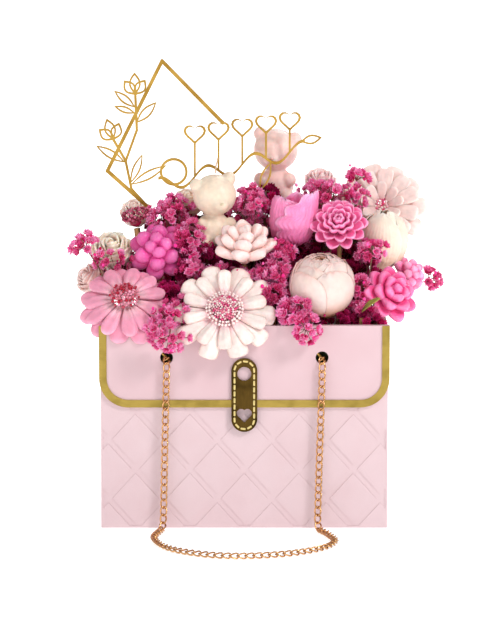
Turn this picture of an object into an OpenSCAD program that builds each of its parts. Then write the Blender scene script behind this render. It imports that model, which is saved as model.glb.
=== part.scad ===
// Flower box: a quilted card box shaped like a chain bag, filled with wax
// flowers, two bears, dyed gypsophila and a gold cake topper.
// Millimetres, +Z up, viewer at -Y. The origin is the centre of the base's underside.

/* [Box] */
// Width across the front wall
box_w = 200; // [180:1:230]
// Depth from the front wall to the back wall
box_d = 100; // [95:1:125]
// Height of the walls
box_h = 142; // [125:1:170]
// Thickness of the grey board
board = 2; // [1.5:0.1:3]
// Width of one pressed diamond
diamond_w = 38; // [24:1:60]
// Height of one pressed diamond
diamond_h = 42; // [24:1:60]
// Width of a pressed groove
groove_w = 4.2; // [2:0.1:7]
// Depth of a pressed groove
groove_deep = 0.5; // [0.2:0.1:1]
// Plain board left between a groove's end and the wall's edge
groove_margin = 1.4; // [0.5:0.1:6]

/* [Flap] */
// Width of the flap, a little more than the box
flap_w = 202; // [182:1:232]
// Drop of the flap below the rim
flap_drop = 56; // [45:1:80]
// Thickness of the flap's board
flap_t = 1.5; // [1:0.1:3]
// Radius of the flap's lower corners
flap_corner = 20.5; // [10:0.5:30]
// Height of the glued tab inside the front wall
tab_h = 12; // [6:1:14]
// Width of the gold edging
trim_w = 5.3; // [3:0.1:9]
// Thickness of the gold edging
trim_t = 0.8; // [0.4:0.1:1.5]

/* [Clasp] */
// Width of the clasp plate
clasp_w = 18; // [15:0.5:26]
// Height of the clasp plate
clasp_h = 52; // [44:1:70]
// Thickness of the clasp plate
clasp_t = 1.4; // [0.8:0.1:3]
// Distance of the plate's top below the rim
clasp_down = 21; // [15:1:30]
// Diameter of the plate's round hole
ring_hole_d = 9.7; // [6:0.1:12]
// Width of the plate's heart-shaped hole
heart_w = 10.5; // [6:0.1:12]
// Distance of each hole's centre from the nearer end of the plate
clasp_hole_in = 11; // [9:0.5:16]
// Length of one raised stitch
stitch_len = 3.6; // [2:0.1:5]
// Width of one raised stitch
stitch_w = 1.3; // [0.8:0.1:2]
// Height of one raised stitch
stitch_t = 0.4; // [0.2:0.1:0.8]
// Stitch line's distance from the plate's edge
stitch_in = 2.2; // [1.5:0.1:3]
// Distance from stitch to stitch
stitch_pitch = 4.6; // [4:0.1:7]

/* [Chain] */
// Diameter of the two chain holes
chain_hole_d = 9; // [8:0.5:12]
// Half the distance between the chain holes
chain_hole_x = 54; // [50:1:58]
// Distance of the chain holes below the rim
chain_hole_down = 21; // [18:1:24]
// Diameter of the chain's wire
wire_d = 1; // [0.8:0.05:1.05]
// Length inside one link
link_l = 5.5; // [5.4:0.1:6]
// Width inside one link
link_w = 3.2; // [3:0.1:3.4]
// Play between linked links
link_play = 0.2; // [0.15:0.05:0.4]
// Length of the toggle bars behind the front wall
toggle_len = 15; // [12:1:18]
// Diameter of the toggle bars
toggle_d = 2.2; // [1.8:0.1:2.4]

/* [Foam and picks] */
// Distance of the foam's top below the rim
foam_down = 14; // [8:1:24]
// Room for the toggles between the front wall and the foam
toggle_room = 7; // [5:0.5:10]
// Diameter of a flower's pick
pick_d = 3; // [2:0.1:4]
// Depth of the picks in the foam
pick_deep = 40; // [20:1:60]
// Radius of the round holder under each flower
holder_r = 4; // [3.5:0.1:4.5]
// Diameter of a gypsophila stem
stem_d = 1; // [0.8:0.1:1.4]
// Radius of a gypsophila floret
floret_r = 3; // [2:0.1:3.4]
// Clearance round whatever stands in or on another piece
fit = 0.3; // [0.2:0.05:0.4]

/* [Flowers] */
// Diameter of the pink gerbera
gerbera_d = 62; // [40:1:70]
// Diameter of the blush daisy that hangs over the flap
daisy_d = 71; // [50:1:80]
// Diameter of the hot pink flower with egg-shaped petals
egg_bloom_d = 38; // [30:1:46]
// Diameter of the cream lotus
lotus_d = 42; // [34:1:50]
// Diameter of the cream rose at the left
cream_rose_d = 28; // [22:1:32]
// Diameter of the small roses between the large flowers
small_rose_d = 21; // [16:1:24]
// Length of the large ribbed petals
ribbed_petal_l = 34; // [26:1:38]
// Diameter of the pink dahlia
dahlia_d = 41; // [32:1:46]
// Diameter of the closed peony
peony_d = 47; // [38:1:52]
// Diameter of the cream tulip
tulip_d = 35; // [28:1:40]
// Height of the cream tulip
tulip_h = 42; // [34:1:50]
// Diameter of the magenta succulent
succulent_d = 41; // [32:1:46]
// Diameter of the flower with ball petals
ball_bloom_d = 25; // [20:1:28]
// Diameter of the large daisy at the back
back_daisy_d = 64; // [50:1:72]
// Diameter of the roses along the back
rear_rose_d = 32; // [26:1:36]
// Diameter of the cream bear's head
cream_head_d = 31; // [26:1:34]
// Diameter of the pink bear's head
pink_head_d = 32; // [26:1:34]

/* [Places] */
// Each place is a holder's X, its Y and its height above the rim
gerbera_at = [-83, -36, 14]; // [-150:1:150]
// Blush daisy
daisy_at = [-14, -46, 9]; // [-150:1:150]
// Hot pink flower with egg-shaped petals
egg_bloom_at = [-60, 2, 44]; // [-150:1:150]
// Cream lotus
lotus_at = [0, -19, 44]; // [-150:1:150]
// Cream rose
cream_rose_at = [-92, 12, 38]; // [-150:1:150]
// Pale rose behind the topper
pale_rose_at = [-76, 40, 62]; // [-150:1:150]
// Dusty rose at the far left
dusty_rose_at = [-103, 6, 22]; // [-150:1:150]
// Peach rose behind the cream bear
peach_rose_at = [-40, 37, 70]; // [-150:1:150]
// Blush rose beside the pink bear
blush_rose_at = [54, 38, 84]; // [-150:1:150]
// Large ribbed flower
ribbed_at = [31, 6, 48]; // [-150:1:150]
// Pink dahlia
dahlia_at = [67, -6, 62]; // [-150:1:150]
// Closed peony
peony_at = [55, -24, 4]; // [-150:1:150]
// Cream tulip
tulip_at = [97, 12, 33]; // [-150:1:150]
// Magenta succulent
succulent_at = [98, -17, 15]; // [-150:1:150]
// Flower with ball petals
ball_bloom_at = [113, 10, 27]; // [-150:1:150]
// Large daisy at the back
back_daisy_at = [99, 54, 69]; // [-150:1:150]
// Three roses along the back
rear_left_at = [-48, 44, 22]; // [-150:1:150]
// Middle one
rear_middle_at = [-4, 46, 26]; // [-150:1:150]
// Right one
rear_right_at = [42, 46, 22]; // [-150:1:150]
// Cream bear
cream_bear_at = [-22, 5.5, 50]; // [-150:1:150]
// Pink bear
pink_bear_at = [23, 46, 76]; // [-150:1:150]
// Crimson berries
berry_at = [-77, 7, 66]; // [-150:1:150]
// Green leaf at the rim
leaf_at = [82, -42, 10]; // [-150:1:150]

/* [Topper] */
// Thickness of the topper's plate
topper_t = 2; // [1.5:0.1:3]
// Sideways place of the topper's stake
topper_x = -67; // [-68:0.5:-66]
// Place of the topper's plane behind the box's middle
topper_y = 21; // [20.5:0.1:22]
// Height of the topper's lowest corner above the rim
topper_rise = 74; // [70:1:90]
// Width of the diamond frame's bars
bar_w = 2.6; // [2:0.1:4]
// Width of the vine's stroke
vine_w = 1.8; // [1.6:0.1:3]
// Width of the leaf and petal outlines
line_w = 1.3; // [1:0.1:2]
// Width of one heart
topper_heart_w = 16; // [14:0.5:17]

/* [Hidden] */

// Facets of round shapes by size
fine = 96;
medium = 48;
small = 24;
tiny = 16;
flat_sides = 12;

// Walls, flap and clasp, by their front faces
front_y = -box_d / 2;
flap_y = front_y - flap_t;
trim_y = flap_y - trim_t;
clasp_y = trim_y - clasp_t;
clasp_top = box_h - clasp_down;
chain_z = box_h - chain_hole_down;
foam_top = box_h - foam_down;
foam_front = front_y + board + toggle_room;

// ---------- small shapes ----------

// A pointed leaf or petal from the origin along +X: half a sine wave on each side
module blade_outline(len, wid) {
  steps = 7;
  polygon(concat(
    [for (k = [0 : steps]) [len * k / steps, -wid / 2 * sin(180 * k / steps)]],
    [for (k = [steps - 1 : -1 : 1]) [len * k / steps, wid / 2 * sin(180 * k / steps)]]));
}

// A petal with a narrow foot and a round end, along +X
module paddle_outline(len, wid)
  polygon(concat(
    [[0, -wid / 5]],
    [for (t = [-90 : 22.5 : 90]) [len - wid / 2 + wid / 2 * cos(t), wid / 2 * sin(t)]],
    [[0, wid / 5]]));

module blade(len, wid, thick) linear_extrude(thick) blade_outline(len, wid);

module paddle(len, wid, thick) linear_extrude(thick) paddle_outline(len, wid);

// A heart that is wid wide, its lobes up, centred on the square between them
module heart_outline(wid) {
  side = wid / (1 + sqrt(0.5));
  rotate(45) square(side, center = true);
  for (way = [-1, 1])
    translate([way * side / sqrt(8), side / sqrt(8)]) circle(d = side, $fn = medium);
}

// A stadium, upright and centred
module stadium_outline(wid, high) {
  square([wid, high - wid], center = true);
  for (way = [-1, 1]) translate([0, way * (high - wid) / 2]) circle(d = wid, $fn = medium);
}

// Puts a flat drawing, drawn as seen from the front, upright in the X-Z plane: it fills
// the depth from the front face back by thick
module upright(front, thick)
  translate([0, front + thick, 0]) rotate([90, 0, 0]) linear_extrude(thick) children();

// Copies round the Z axis
module ring(count, turn = 0)
  for (i = [0 : count - 1]) rotate([0, 0, turn + i * 360 / count]) children();

// Stands a child at a place, its +Z leaning by tilt towards the compass direction heading
module stand(place, tilt = 0, heading = -90)
  translate(place) rotate([0, 0, heading]) rotate([0, tilt, 0]) rotate([0, 0, -heading]) children();

// A rod between two points
module rod(from, to, diameter, sides = tiny) {
  along = to - from;
  across = norm([along.x, along.y]);
  translate(from)
    rotate([0, atan2(across, along.z), atan2(along.y, along.x)])
      cylinder(h = norm(along), d = diameter, $fn = sides);
}

// ---------- box ----------

// The pressed lattice's lines over a wall that is wide across and box_h high
module lattice(wide) {
  lean = atan2(diamond_h, diamond_w);
  reach = ceil((wide / 2 + box_h * diamond_w / diamond_h) / diamond_w);
  intersection() {
    translate([-wide / 2 + groove_margin, groove_margin])
      square([wide - 2 * groove_margin, box_h - 2 * groove_margin]);
    for (way = [-1, 1])
      for (k = [-reach : reach])
        translate([k * diamond_w, 0])
          rotate(way * lean)
            square([4 * box_h, groove_w], center = true);
  }
}

// A wall with its outer face at -Y: its lattice is pressed into that face
module wall(wide, outer) difference() {
  translate([-wide / 2, outer, 0]) cube([wide, board, box_h]);
  upright(outer - 1, 1 + groove_deep) lattice(wide);
}

module chain_holes()
  for (way = [-1, 1])
    translate([way * chain_hole_x, front_y + board + 1, chain_z])
      rotate([90, 0, 0]) cylinder(h = board + flap_t + 2, d = chain_hole_d, $fn = medium);

module front_panel() color("#f3c3c6") difference() {
  wall(box_w, front_y);
  chain_holes();
}

module back_panel() color("#f3c3c6") rotate([0, 0, 180]) wall(box_w, front_y);

module side_panel() wall(box_d - 2 * board, -box_w / 2);

module left_panel() color("#f0bfc2") rotate([0, 0, -90]) side_panel();

module right_panel() color("#f0bfc2") rotate([0, 0, 90]) side_panel();

module base_panel() color("#efc0c2")
  translate([board - box_w / 2, front_y + board, 0])
    cube([box_w - 2 * board, box_d - 2 * board, board]);

// ---------- flap ----------

// The flap as seen from the front, its top edge level with the fold
module flap_outline(inset = 0) {
  half = flap_w / 2 - inset;
  low = box_h - flap_drop + inset;
  r = flap_corner - inset;
  high = flap_drop + flap_t - inset;
  translate([-half, low + r]) square([2 * half, high - r]);
  translate([r - half, low]) square([2 * (half - r), high]);
  for (way = [-1, 1]) translate([way * (half - r), low + r]) circle(r, $fn = fine);
}

module flap_panel() color("#f1bcc0") difference() {
  union() {
    upright(flap_y, flap_t) flap_outline();
    translate([-flap_w / 2, front_y, box_h]) cube([flap_w, board + flap_t, flap_t]);
    translate([board + fit - box_w / 2, front_y + board, box_h - tab_h])
      cube([box_w - 2 * (board + fit), flap_t, tab_h]);
  }
  chain_holes();
}

module flap_trim() color("#b8963f")
  upright(trim_y, trim_t) difference() {
    flap_outline();
    flap_outline(trim_w);
    translate([-flap_w, box_h + flap_t - 0.01]) square([2 * flap_w, flap_t]);
    translate([trim_w - flap_w / 2, box_h - flap_drop + flap_corner])
      square([flap_w - 2 * trim_w, flap_drop + flap_t]);
  }

// ---------- clasp ----------

module clasp_plate() color("#6a5322")
  upright(clasp_y, clasp_t) translate([0, clasp_top - clasp_h / 2]) difference() {
    stadium_outline(clasp_w, clasp_h);
    translate([0, clasp_h / 2 - clasp_hole_in]) circle(d = ring_hole_d, $fn = medium);
    translate([0, clasp_hole_in - clasp_h / 2]) heart_outline(heart_w);
  }

// The stitches follow a stadium inside the plate's edge: the place and turn at the
// distance s from the lower end of its right straight side
stitch_r = clasp_w / 2 - stitch_in;
stitch_straight = clasp_h - clasp_w;
stitch_round = 180 * stitch_r * PI / 180;
stitch_way = 2 * (stitch_straight + stitch_round);
function stitch_at(s) =
  s < stitch_straight ? [stitch_r, s - stitch_straight / 2, 90]
  : s < stitch_straight + stitch_round
    ? let (a = (s - stitch_straight) / stitch_r * 180 / PI)
      [stitch_r * cos(a), stitch_straight / 2 + stitch_r * sin(a), 90 + a]
  : let (p = stitch_at(s - stitch_straight - stitch_round)) [-p.x, -p.y, p.z + 180];

module clasp_stitching() color("#d8c27a") {
  count = floor(stitch_way / stitch_pitch);
  upright(clasp_y - stitch_t, stitch_t)
    for (i = [0 : count - 1]) {
      at = stitch_at((i + 0.5) * stitch_way / count);
      translate([at.x, at.y + clasp_top - clasp_h / 2])
        rotate(at.z - 90) stadium_outline(stitch_w, stitch_len);
    }
}

// ---------- chain ----------

// The chain's middle line: in from the left toggle, down the front, out over the floor
// and back up to the right toggle
hang_y = flap_y - 4.5;
inner_y = front_y + board + toggle_d / 2 + fit + 1.2;
lip_z = chain_z - chain_hole_d / 2 + 3.5;
lie_z = (link_w + wire_d) / 2 * sqrt(0.5) + wire_d / 2 + 0.2;
CHAIN_ROUTE = [
  [-chain_hole_x, inner_y + 2, lip_z],
  [-chain_hole_x, inner_y, lip_z],
  [-chain_hole_x, front_y, lip_z],
  [-chain_hole_x, flap_y - 1.4, lip_z - 0.6],
  [-chain_hole_x, hang_y + 0.3, lip_z - 4.2],
  [-chain_hole_x, hang_y, lip_z - 9],
  [-54.8, hang_y, 80],
  [-55.6, hang_y, 45],
  [-56.2, hang_y, 18],
  [-56.5, hang_y - 1.4, 8],
  [-57, hang_y - 6, lie_z + 0.6],
  [-58.5, -70, lie_z],
  [-62, -93, lie_z],
  [-52, -122, lie_z],
  [-30, -141, lie_z],
  [-3, -148, lie_z],
  [28, -141, lie_z],
  [52, -124, lie_z],
  [62, -103, lie_z],
  [58, -80, lie_z],
  [53.5, -68, lie_z],
  [51.8, hang_y - 6, lie_z + 0.6],
  [51.2, hang_y - 1.4, 8],
  [51.4, hang_y, 18],
  [52.2, hang_y, 50],
  [53.3, hang_y, 85],
  [chain_hole_x, hang_y, lip_z - 9],
  [chain_hole_x, hang_y + 0.3, lip_z - 4.2],
  [chain_hole_x, flap_y - 1.4, lip_z - 0.6],
  [chain_hole_x, front_y, lip_z],
  [chain_hole_x, inner_y, lip_z],
  [chain_hole_x, inner_y + 2, lip_z]];

// A smooth curve through the route's points, without the two that only aim its ends
function bend(a, b, c, d, t) =
  0.5 * ((2 * b) + (c - a) * t + (2 * a - 5 * b + 4 * c - d) * t * t
         + (3 * b - a - 3 * c + d) * t * t * t);
curve_steps = 40;
CHAIN_CURVE = [
  for (i = [1 : len(CHAIN_ROUTE) - 3])
    for (k = [0 : curve_steps - (i < len(CHAIN_ROUTE) - 3 ? 1 : 0)])
      bend(CHAIN_ROUTE[i - 1], CHAIN_ROUTE[i], CHAIN_ROUTE[i + 1], CHAIN_ROUTE[i + 2],
           k / curve_steps)];
CHAIN_ALONG = [
  for (i = 0, run = 0; i < len(CHAIN_CURVE);
       i = i + 1,
       run = run + (i < len(CHAIN_CURVE) ? norm(CHAIN_CURVE[i] - CHAIN_CURVE[i - 1]) : 0))
    run];
chain_len = CHAIN_ALONG[len(CHAIN_ALONG) - 1];

// The curve's point at a distance along it, found by halving
function chain_point(s, low, high) =
  high - low < 2
    ? let (share = (s - CHAIN_ALONG[low]) / (CHAIN_ALONG[high] - CHAIN_ALONG[low]))
      CHAIN_CURVE[low] * (1 - share) + CHAIN_CURVE[high] * share
    : let (middle = floor((low + high) / 2))
      CHAIN_ALONG[middle] > s ? chain_point(s, low, middle) : chain_point(s, middle, high);

link_count = floor(chain_len / (link_l - link_play));
CHAIN_JOINTS = [
  for (i = [0 : link_count]) chain_point(i * chain_len / link_count, 0, len(CHAIN_CURVE) - 1)];

function unit(v) = v / norm(v);

// A link's two side directions: level along the wall, and turned with the chain on the floor
function side_of(place, along) =
  let (wanted = place.z > 3 * lie_z ? [place.x < 0 ? 1 : -1, 0, 0] : [-along.y, along.x, 0])
  unit(wanted - (wanted * along) * along);

// One link along X: two half rings and two straight sides
module link() {
  r = (link_w + wire_d) / 2;
  half = (link_l - link_w) / 2;
  for (way = [0, 180]) rotate([0, 0, way]) {
    translate([half, 0, 0])
      rotate([0, 0, -90])
        rotate_extrude(angle = 180, $fn = small) translate([r, 0]) circle(d = wire_d, $fn = tiny);
    translate([0, r, 0])
      rotate([0, 90, 0]) cylinder(h = 2 * half, d = wire_d, center = true, $fn = tiny);
  }
}

// Every second link is turned a right angle, so that each lies at 45 degrees to the chain
module chain_links(first, last)
  for (i = [first : last]) {
    from = CHAIN_JOINTS[i];
    to = CHAIN_JOINTS[i + 1];
    along = unit(to - from);
    side = side_of((from + to) / 2, along);
    other = cross(along, side);
    roll = 45 + 90 * (i % 2);
    u = side * cos(roll) + other * sin(roll);
    v = cross(along, u);
    middle = (from + to) / 2;
    multmatrix([[along.x, u.x, v.x, middle.x],
                [along.y, u.y, v.y, middle.y],
                [along.z, u.z, v.z, middle.z],
                [0, 0, 0, 1]])
      link();
  }

drop_links = floor((chain_z - lie_z + 10) / (link_l - link_play));

module chain_left_drop() color("#c99a6b") chain_links(0, drop_links - 1);

module chain_floor_run() color("#c99a6b")
  chain_links(drop_links, link_count - drop_links - 1);

module chain_right_drop() color("#c99a6b")
  chain_links(link_count - drop_links, link_count - 1);

// A bar through the end link, too long to pass the hole
module toggle(joint, inward, roll) {
  seat = (toggle_d - link_play) / 2;
  translate(joint - inward * seat)
    rotate([0, roll, 0])
      cylinder(h = toggle_len, d = toggle_d, center = true, $fn = small);
}

module left_toggle() color("#b8963f") toggle(CHAIN_JOINTS[0], [0, 1, 0], -45);

module right_toggle() color("#b8963f")
  toggle(CHAIN_JOINTS[link_count], [0, 1, 0], link_count % 2 == 0 ? -45 : 45);

// ---------- foam, picks and stems ----------

function over_rim(place) = place + [0, 0, box_h];

// Each flower's holder, and where its pick goes into the foam
FLOWER_PICKS = [
  [gerbera_at, [-74, -24]], [daisy_at, [-12, -26]], [egg_bloom_at, [-56, -4]],
  [lotus_at, [2, -10]], [cream_rose_at, [-80, 14]], [pale_rose_at, [-72, 34]],
  [dusty_rose_at, [-72, 2]], [peach_rose_at, [-38, 30]], [blush_rose_at, [54, 30]],
  [ribbed_at, [30, 6]], [dahlia_at, [66, 2]], [peony_at, [54, -22]], [tulip_at, [84, 18]],
  [succulent_at, [72, -14]], [ball_bloom_at, [62, 8]], [back_daisy_at, [80, 36]],
  [rear_left_at, [-50, 36]], [rear_middle_at, [-6, 36]], [rear_right_at, [42, 36]],
  [cream_bear_at, [-22, 8]], [pink_bear_at, [22, 36]], [berry_at, [-64, 12]],
  [leaf_at, [78, -28]]];

// A pick's two ends: pick_deep below the foam's top, and just short of the holder
function pick_foot(pick) = [pick[1].x, pick[1].y, foam_top - pick_deep];
function pick_head(pick) =
  let (hub = over_rim(pick[0]))
  hub - unit(hub - pick_foot(pick)) * (holder_r + fit);

module flower_picks() color("#9a8a5a")
  for (pick = FLOWER_PICKS) rod(pick_foot(pick), pick_head(pick), pick_d);

// A hole in the foam along a pick or stem, open at the foam's top
module foam_hole(foot, head, diameter) {
  along = unit(head - foot);
  rise = foam_top + 12 - foot.z;
  rod(foot - along * fit, foot + along * rise / along.z, diameter + 2 * fit, flat_sides);
}

module foam_block() color("#7d9a63") difference() {
  translate([board + fit - box_w / 2, foam_front, board])
    cube([box_w - 2 * (board + fit), -front_y - board - fit - foam_front, foam_top - board]);
  for (pick = FLOWER_PICKS) foam_hole(pick_foot(pick), pick_head(pick), pick_d);
  for (bunch = SPRAYS) for (spray = bunch) foam_hole(spray_foot(spray), spray_head(spray), stem_d);
  translate([topper_x - bar_w / 2 - fit, topper_y - topper_t / 2 - fit, foam_top - stake_deep - fit])
    cube([bar_w + 2 * fit, topper_t + 2 * fit, stake_deep + 12]);
}

// ---------- flowers: each stands on its holder at the origin and faces +Z ----------

module holder() sphere(holder_r, $fn = medium);

// A ring of petals that rise by tilt from a foot at the given radius and height
module petal_ring(count, turn, foot, height, tilt)
  ring(count, turn) translate([foot, 0, height]) rotate([0, -tilt, 0]) children();

module flower_at(place, tilt, heading) stand(over_rim(place), tilt, heading) {
  holder();
  children();
}

// A closed bud on the axis, from the height low
module bud(r, low, high)
  translate([0, 0, low])
    rotate_extrude($fn = medium)
      polygon([[0, 0], [r * 0.8, 0], [r, high * 0.35], [r * 0.75, high * 0.75], [0, high]]);

module pink_gerbera() color("#ee9cb0") flower_at(gerbera_at, gerbera_tilt, -90) {
  translate([0, 0, 2]) cylinder(r = gerbera_eye_r, h = 10, $fn = medium);
  petal_ring(11, 0, 5, 4, 6) paddle(gerbera_d / 2 - 5, gerbera_d / 7, 3.6);
  petal_ring(11, 16, 5, 7, 20) paddle(gerbera_d / 2 - 8, gerbera_d / 8, 3);
}
gerbera_tilt = 46;
gerbera_eye_r = 8.5;

// A round eye of small balls: a plate, rings of balls and one in the middle
module bead_eye(r, bead) {
  cylinder(r = r, h = bead, $fn = medium);
  for (k = [1 : 2])
    ring(k * 6) translate([k * r * 0.42, 0, bead * (2.1 - 0.4 * k)]) sphere(bead, $fn = small);
  translate([0, 0, bead * 1.7]) sphere(bead, $fn = small);
}

module gerbera_beads() color("#c2163c")
  stand(over_rim(gerbera_at), gerbera_tilt, -90)
    translate([0, 0, 12 + fit]) bead_eye(gerbera_eye_r - 1, 1.5);

module blush_daisy() color("#f8d9d6") flower_at(daisy_at, daisy_tilt, -88) {
  translate([0, 0, 2]) cylinder(r = daisy_eye_r + 1, h = 9, $fn = medium);
  petal_ring(9, 0, 6, 4, -2) paddle(daisy_d / 2 - 6, daisy_d / 5, 4.4);
  petal_ring(9, 20, 6, 6.5, 9) paddle(daisy_d / 2 - 9, daisy_d / 5.6, 3.6);
}
daisy_tilt = 58;
daisy_eye_r = 9.5;

module daisy_beads() color("#e58aa0")
  stand(over_rim(daisy_at), daisy_tilt, -88) translate([0, 0, 11 + fit]) {
    cylinder(r = daisy_eye_r, h = 1.6, $fn = medium);
    for (k = [0 : 2])
      ring(4 + 6 * k, 11 * k)
        translate([1.6 + 3.1 * k, 0, 1]) cylinder(r1 = 1.2, r2 = 0.8, h = 4.4 - 0.7 * k, $fn = tiny);
  }

module egg_petal_bloom() color("#f0518f") flower_at(egg_bloom_at, 62, -92) {
  r = egg_bloom_d / 2;
  translate([0, 0, 2]) cylinder(r = r * 0.4, h = 9, $fn = flat_sides);
  petal_ring(7, 9, 3.6, 4.4, 6) paddle(r - 3, r * 0.66, 4.4);
  petal_ring(6, 30, 2.5, 6.9, 41) paddle(r * 0.8, r * 0.6, 4);
  bud(r * 0.3, 8, r * 0.55);
}

module cream_lotus() color("#f6e6cc") flower_at(lotus_at, 18, -90) {
  r = lotus_d / 2;
  translate([0, 0, 2]) cylinder(r = 6.5, h = 8, $fn = flat_sides);
  petal_ring(6, 2, 4, 3.9, 31) blade(r * 1.1, r * 0.6, 2.8);
  petal_ring(5, 32, 5.4, 4.4, 49) blade(r * 1.06, r * 0.56, 2.6);
  bud(r * 0.3, 7, r * 0.8);
}

// A wall of petals round the axis: count petals that lean out from foot to lip
module petal_wall(count, turn, foot, lip, low, high, thick, gap) {
  sweep = 360 / count - gap;
  ring(count, turn) rotate_extrude(angle = sweep, $fn = medium)
    polygon([[foot, low], [foot + thick, low], [(foot + lip) / 2 + thick * 1.5, (low + high) / 2],
             [lip + thick, high], [lip, high], [(foot + lip) / 2 + thick / 2, (low + high) / 2]]);
}

// An open rose: a bowl, three walls of petals and a bud
module rose(d) {
  high = d * 0.8;
  rotate_extrude($fn = medium)
    polygon([[0, 2], [d * 0.16, 2], [d * 0.36, high * 0.34], [d * 0.3, high * 0.46], [0, high * 0.46]]);
  petal_wall(3, 0, d * 0.26, d * 0.43, high * 0.34, high * 0.84, 1.6, 14);
  petal_wall(3, 60, d * 0.17, d * 0.27, high * 0.4, high * 0.94, 1.5, 16);
  petal_wall(2, 20, d * 0.08, d * 0.13, high * 0.4, high, 1.3, 24);
}

module cream_rose() color("#f7e7cf") flower_at(cream_rose_at, 40, -100) rose(cream_rose_d);

module pale_rose() color("#f8e9e2") flower_at(pale_rose_at, 30, -110) rose(small_rose_d);

module dusty_rose() color("#dcb9a4") flower_at(dusty_rose_at, 56, -150) rose(small_rose_d);

module peach_rose() color("#f3cdb4") flower_at(peach_rose_at, 30, -90) rose(small_rose_d);

module blush_rose() color("#f4c6c8") flower_at(blush_rose_at, 25, -80) rose(small_rose_d);

module rear_rose_left() color("#f2b7bf") flower_at(rear_left_at, 48, 96) rose(rear_rose_d);

module rear_rose_middle() color("#f7e7cf") flower_at(rear_middle_at, 44, 88) rose(rear_rose_d);

module rear_rose_right() color("#f2b7bf") flower_at(rear_right_at, 48, 84) rose(rear_rose_d);

module ribbed_bloom() color("#f2739c") flower_at(ribbed_at, 14, -70) {
  translate([0, 0, 2]) cylinder(r = 6, h = 7, $fn = flat_sides);
  petal_ring(3, 30, 4, 4, 50) paddle(ribbed_petal_l * 0.8, ribbed_petal_l * 0.62, 2.6);
  petal_ring(3, 90, 2, 6, 72) paddle(ribbed_petal_l, ribbed_petal_l * 0.6, 2.6);
}

module pink_dahlia() color("#f27fa6") flower_at(dahlia_at, 62, -94) {
  r = dahlia_d / 2;
  translate([0, 0, 2]) cylinder(r = 7.5, h = 7, $fn = medium);
  petal_ring(9, 8, 5, 3.4, 4) paddle(r - 5, r * 0.5, 2.6);
  petal_ring(8, 18, 4.4, 5.2, 26) paddle(r * 0.72, r * 0.46, 2.4);
  bud(r * 0.44, 8, r * 0.42);
}

// A sphere's skin from the polar angle low up to high, swept round by count petals
module petal_shell(count, turn, r, thick, low, high, gap)
  ring(count, turn) rotate_extrude(angle = 360 / count - gap, $fn = medium) intersection() {
    difference() {
      circle(r, $fn = fine);
      circle(r - thick, $fn = fine);
    }
    polygon([[0, 0], [2 * r * sin(low), 2 * r * cos(low)], [3 * r, 0],
             [2 * r * sin(high), 2 * r * cos(high)]]);
  }

module peony() color("#f7cdbf") flower_at(peony_at, 16, -96) translate([0, 0, peony_d / 2]) {
  r = peony_d / 2;
  intersection() {
    sphere(r - 1, $fn = fine);
    translate([0, 0, -r]) cylinder(r = r, h = r * 0.5, $fn = medium);
  }
  sphere(r - 9, $fn = medium);
  petal_shell(5, 0, r, 2.4, 128, 48, 7);
  petal_shell(5, 36, r - 3, 2.2, 128, 32, 8);
  petal_shell(4, 10, r - 6, 2, 142, 18, 10);
}

// The tulip's radius at a share of its height
function tulip_r(share) = tulip_d / 2 * (0.3 + 0.7 * sin(180 * pow(share * 0.86, 0.75)));

// A petal of the tulip: its wall from share low to share high, swept by an angle
module tulip_petal(sweep, inset, thick, low, high) {
  steps = 6;
  shares = [for (k = [0 : steps]) low + (high - low) * k / steps];
  rotate([0, 0, -sweep / 2]) rotate_extrude(angle = sweep, $fn = medium)
    polygon(concat([for (s = shares) [tulip_r(s) - inset, s * tulip_h]],
                   [for (k = [steps : -1 : 0])
                     [tulip_r(shares[k]) - inset - thick, shares[k] * tulip_h]]));
}

module cream_tulip() color("#f8ecd6") flower_at(tulip_at, 8, -60) {
  cylinder(r1 = 3.5, r2 = tulip_r(0.13) - 0.9, h = tulip_h * 0.13, $fn = medium);
  ring(3) {
    tulip_petal(106, 0, 1.8, 0.08, 0.74);
    tulip_petal(60, 0.5, 0.9, 0.6, 0.95);
  }
  ring(3, 60) {
    tulip_petal(106, 2.5, 1.8, 0.08, 0.8);
    tulip_petal(56, 3, 0.9, 0.66, 1);
  }
}

module magenta_succulent() color("#f2408f") flower_at(succulent_at, 60, -56) {
  r = succulent_d / 2;
  translate([0, 0, 2]) cylinder(r = 6, h = 9, $fn = flat_sides);
  petal_ring(7, 0, 2, 3, 14) paddle(r - 2, r * 0.56, 3.8);
  petal_ring(6, 24, 2.2, 5.6, 34) paddle(r * 0.76, r * 0.5, 3.4);
  bud(r * 0.32, 7, r * 0.5);
}

module ball_petal_bloom() color("#f58fb8") flower_at(ball_bloom_at, 70, -40) {
  r = ball_bloom_d / 2;
  translate([0, 0, r * 0.7]) sphere(r * 0.55, $fn = small);
  ring(6) translate([r * 0.6, 0, r * 0.7]) sphere(r * 0.4, $fn = small);
  ring(5, 20) translate([r * 0.45, 0, r * 1.15]) sphere(r * 0.34, $fn = small);
  translate([0, 0, r * 1.4]) sphere(r * 0.34, $fn = small);
}

module back_daisy() color("#f6d3cf") flower_at(back_daisy_at, 64, -94) {
  translate([0, 0, 2]) cylinder(r = 8.5, h = 6, $fn = medium);
  petal_ring(10, 0, 6, 4, 6) paddle(back_daisy_d / 2 - 6, back_daisy_d / 5, 3.4);
  petal_ring(9, 16, 6, 6.8, 16) paddle(back_daisy_d / 2 - 8, back_daisy_d / 6, 3);
}

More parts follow.
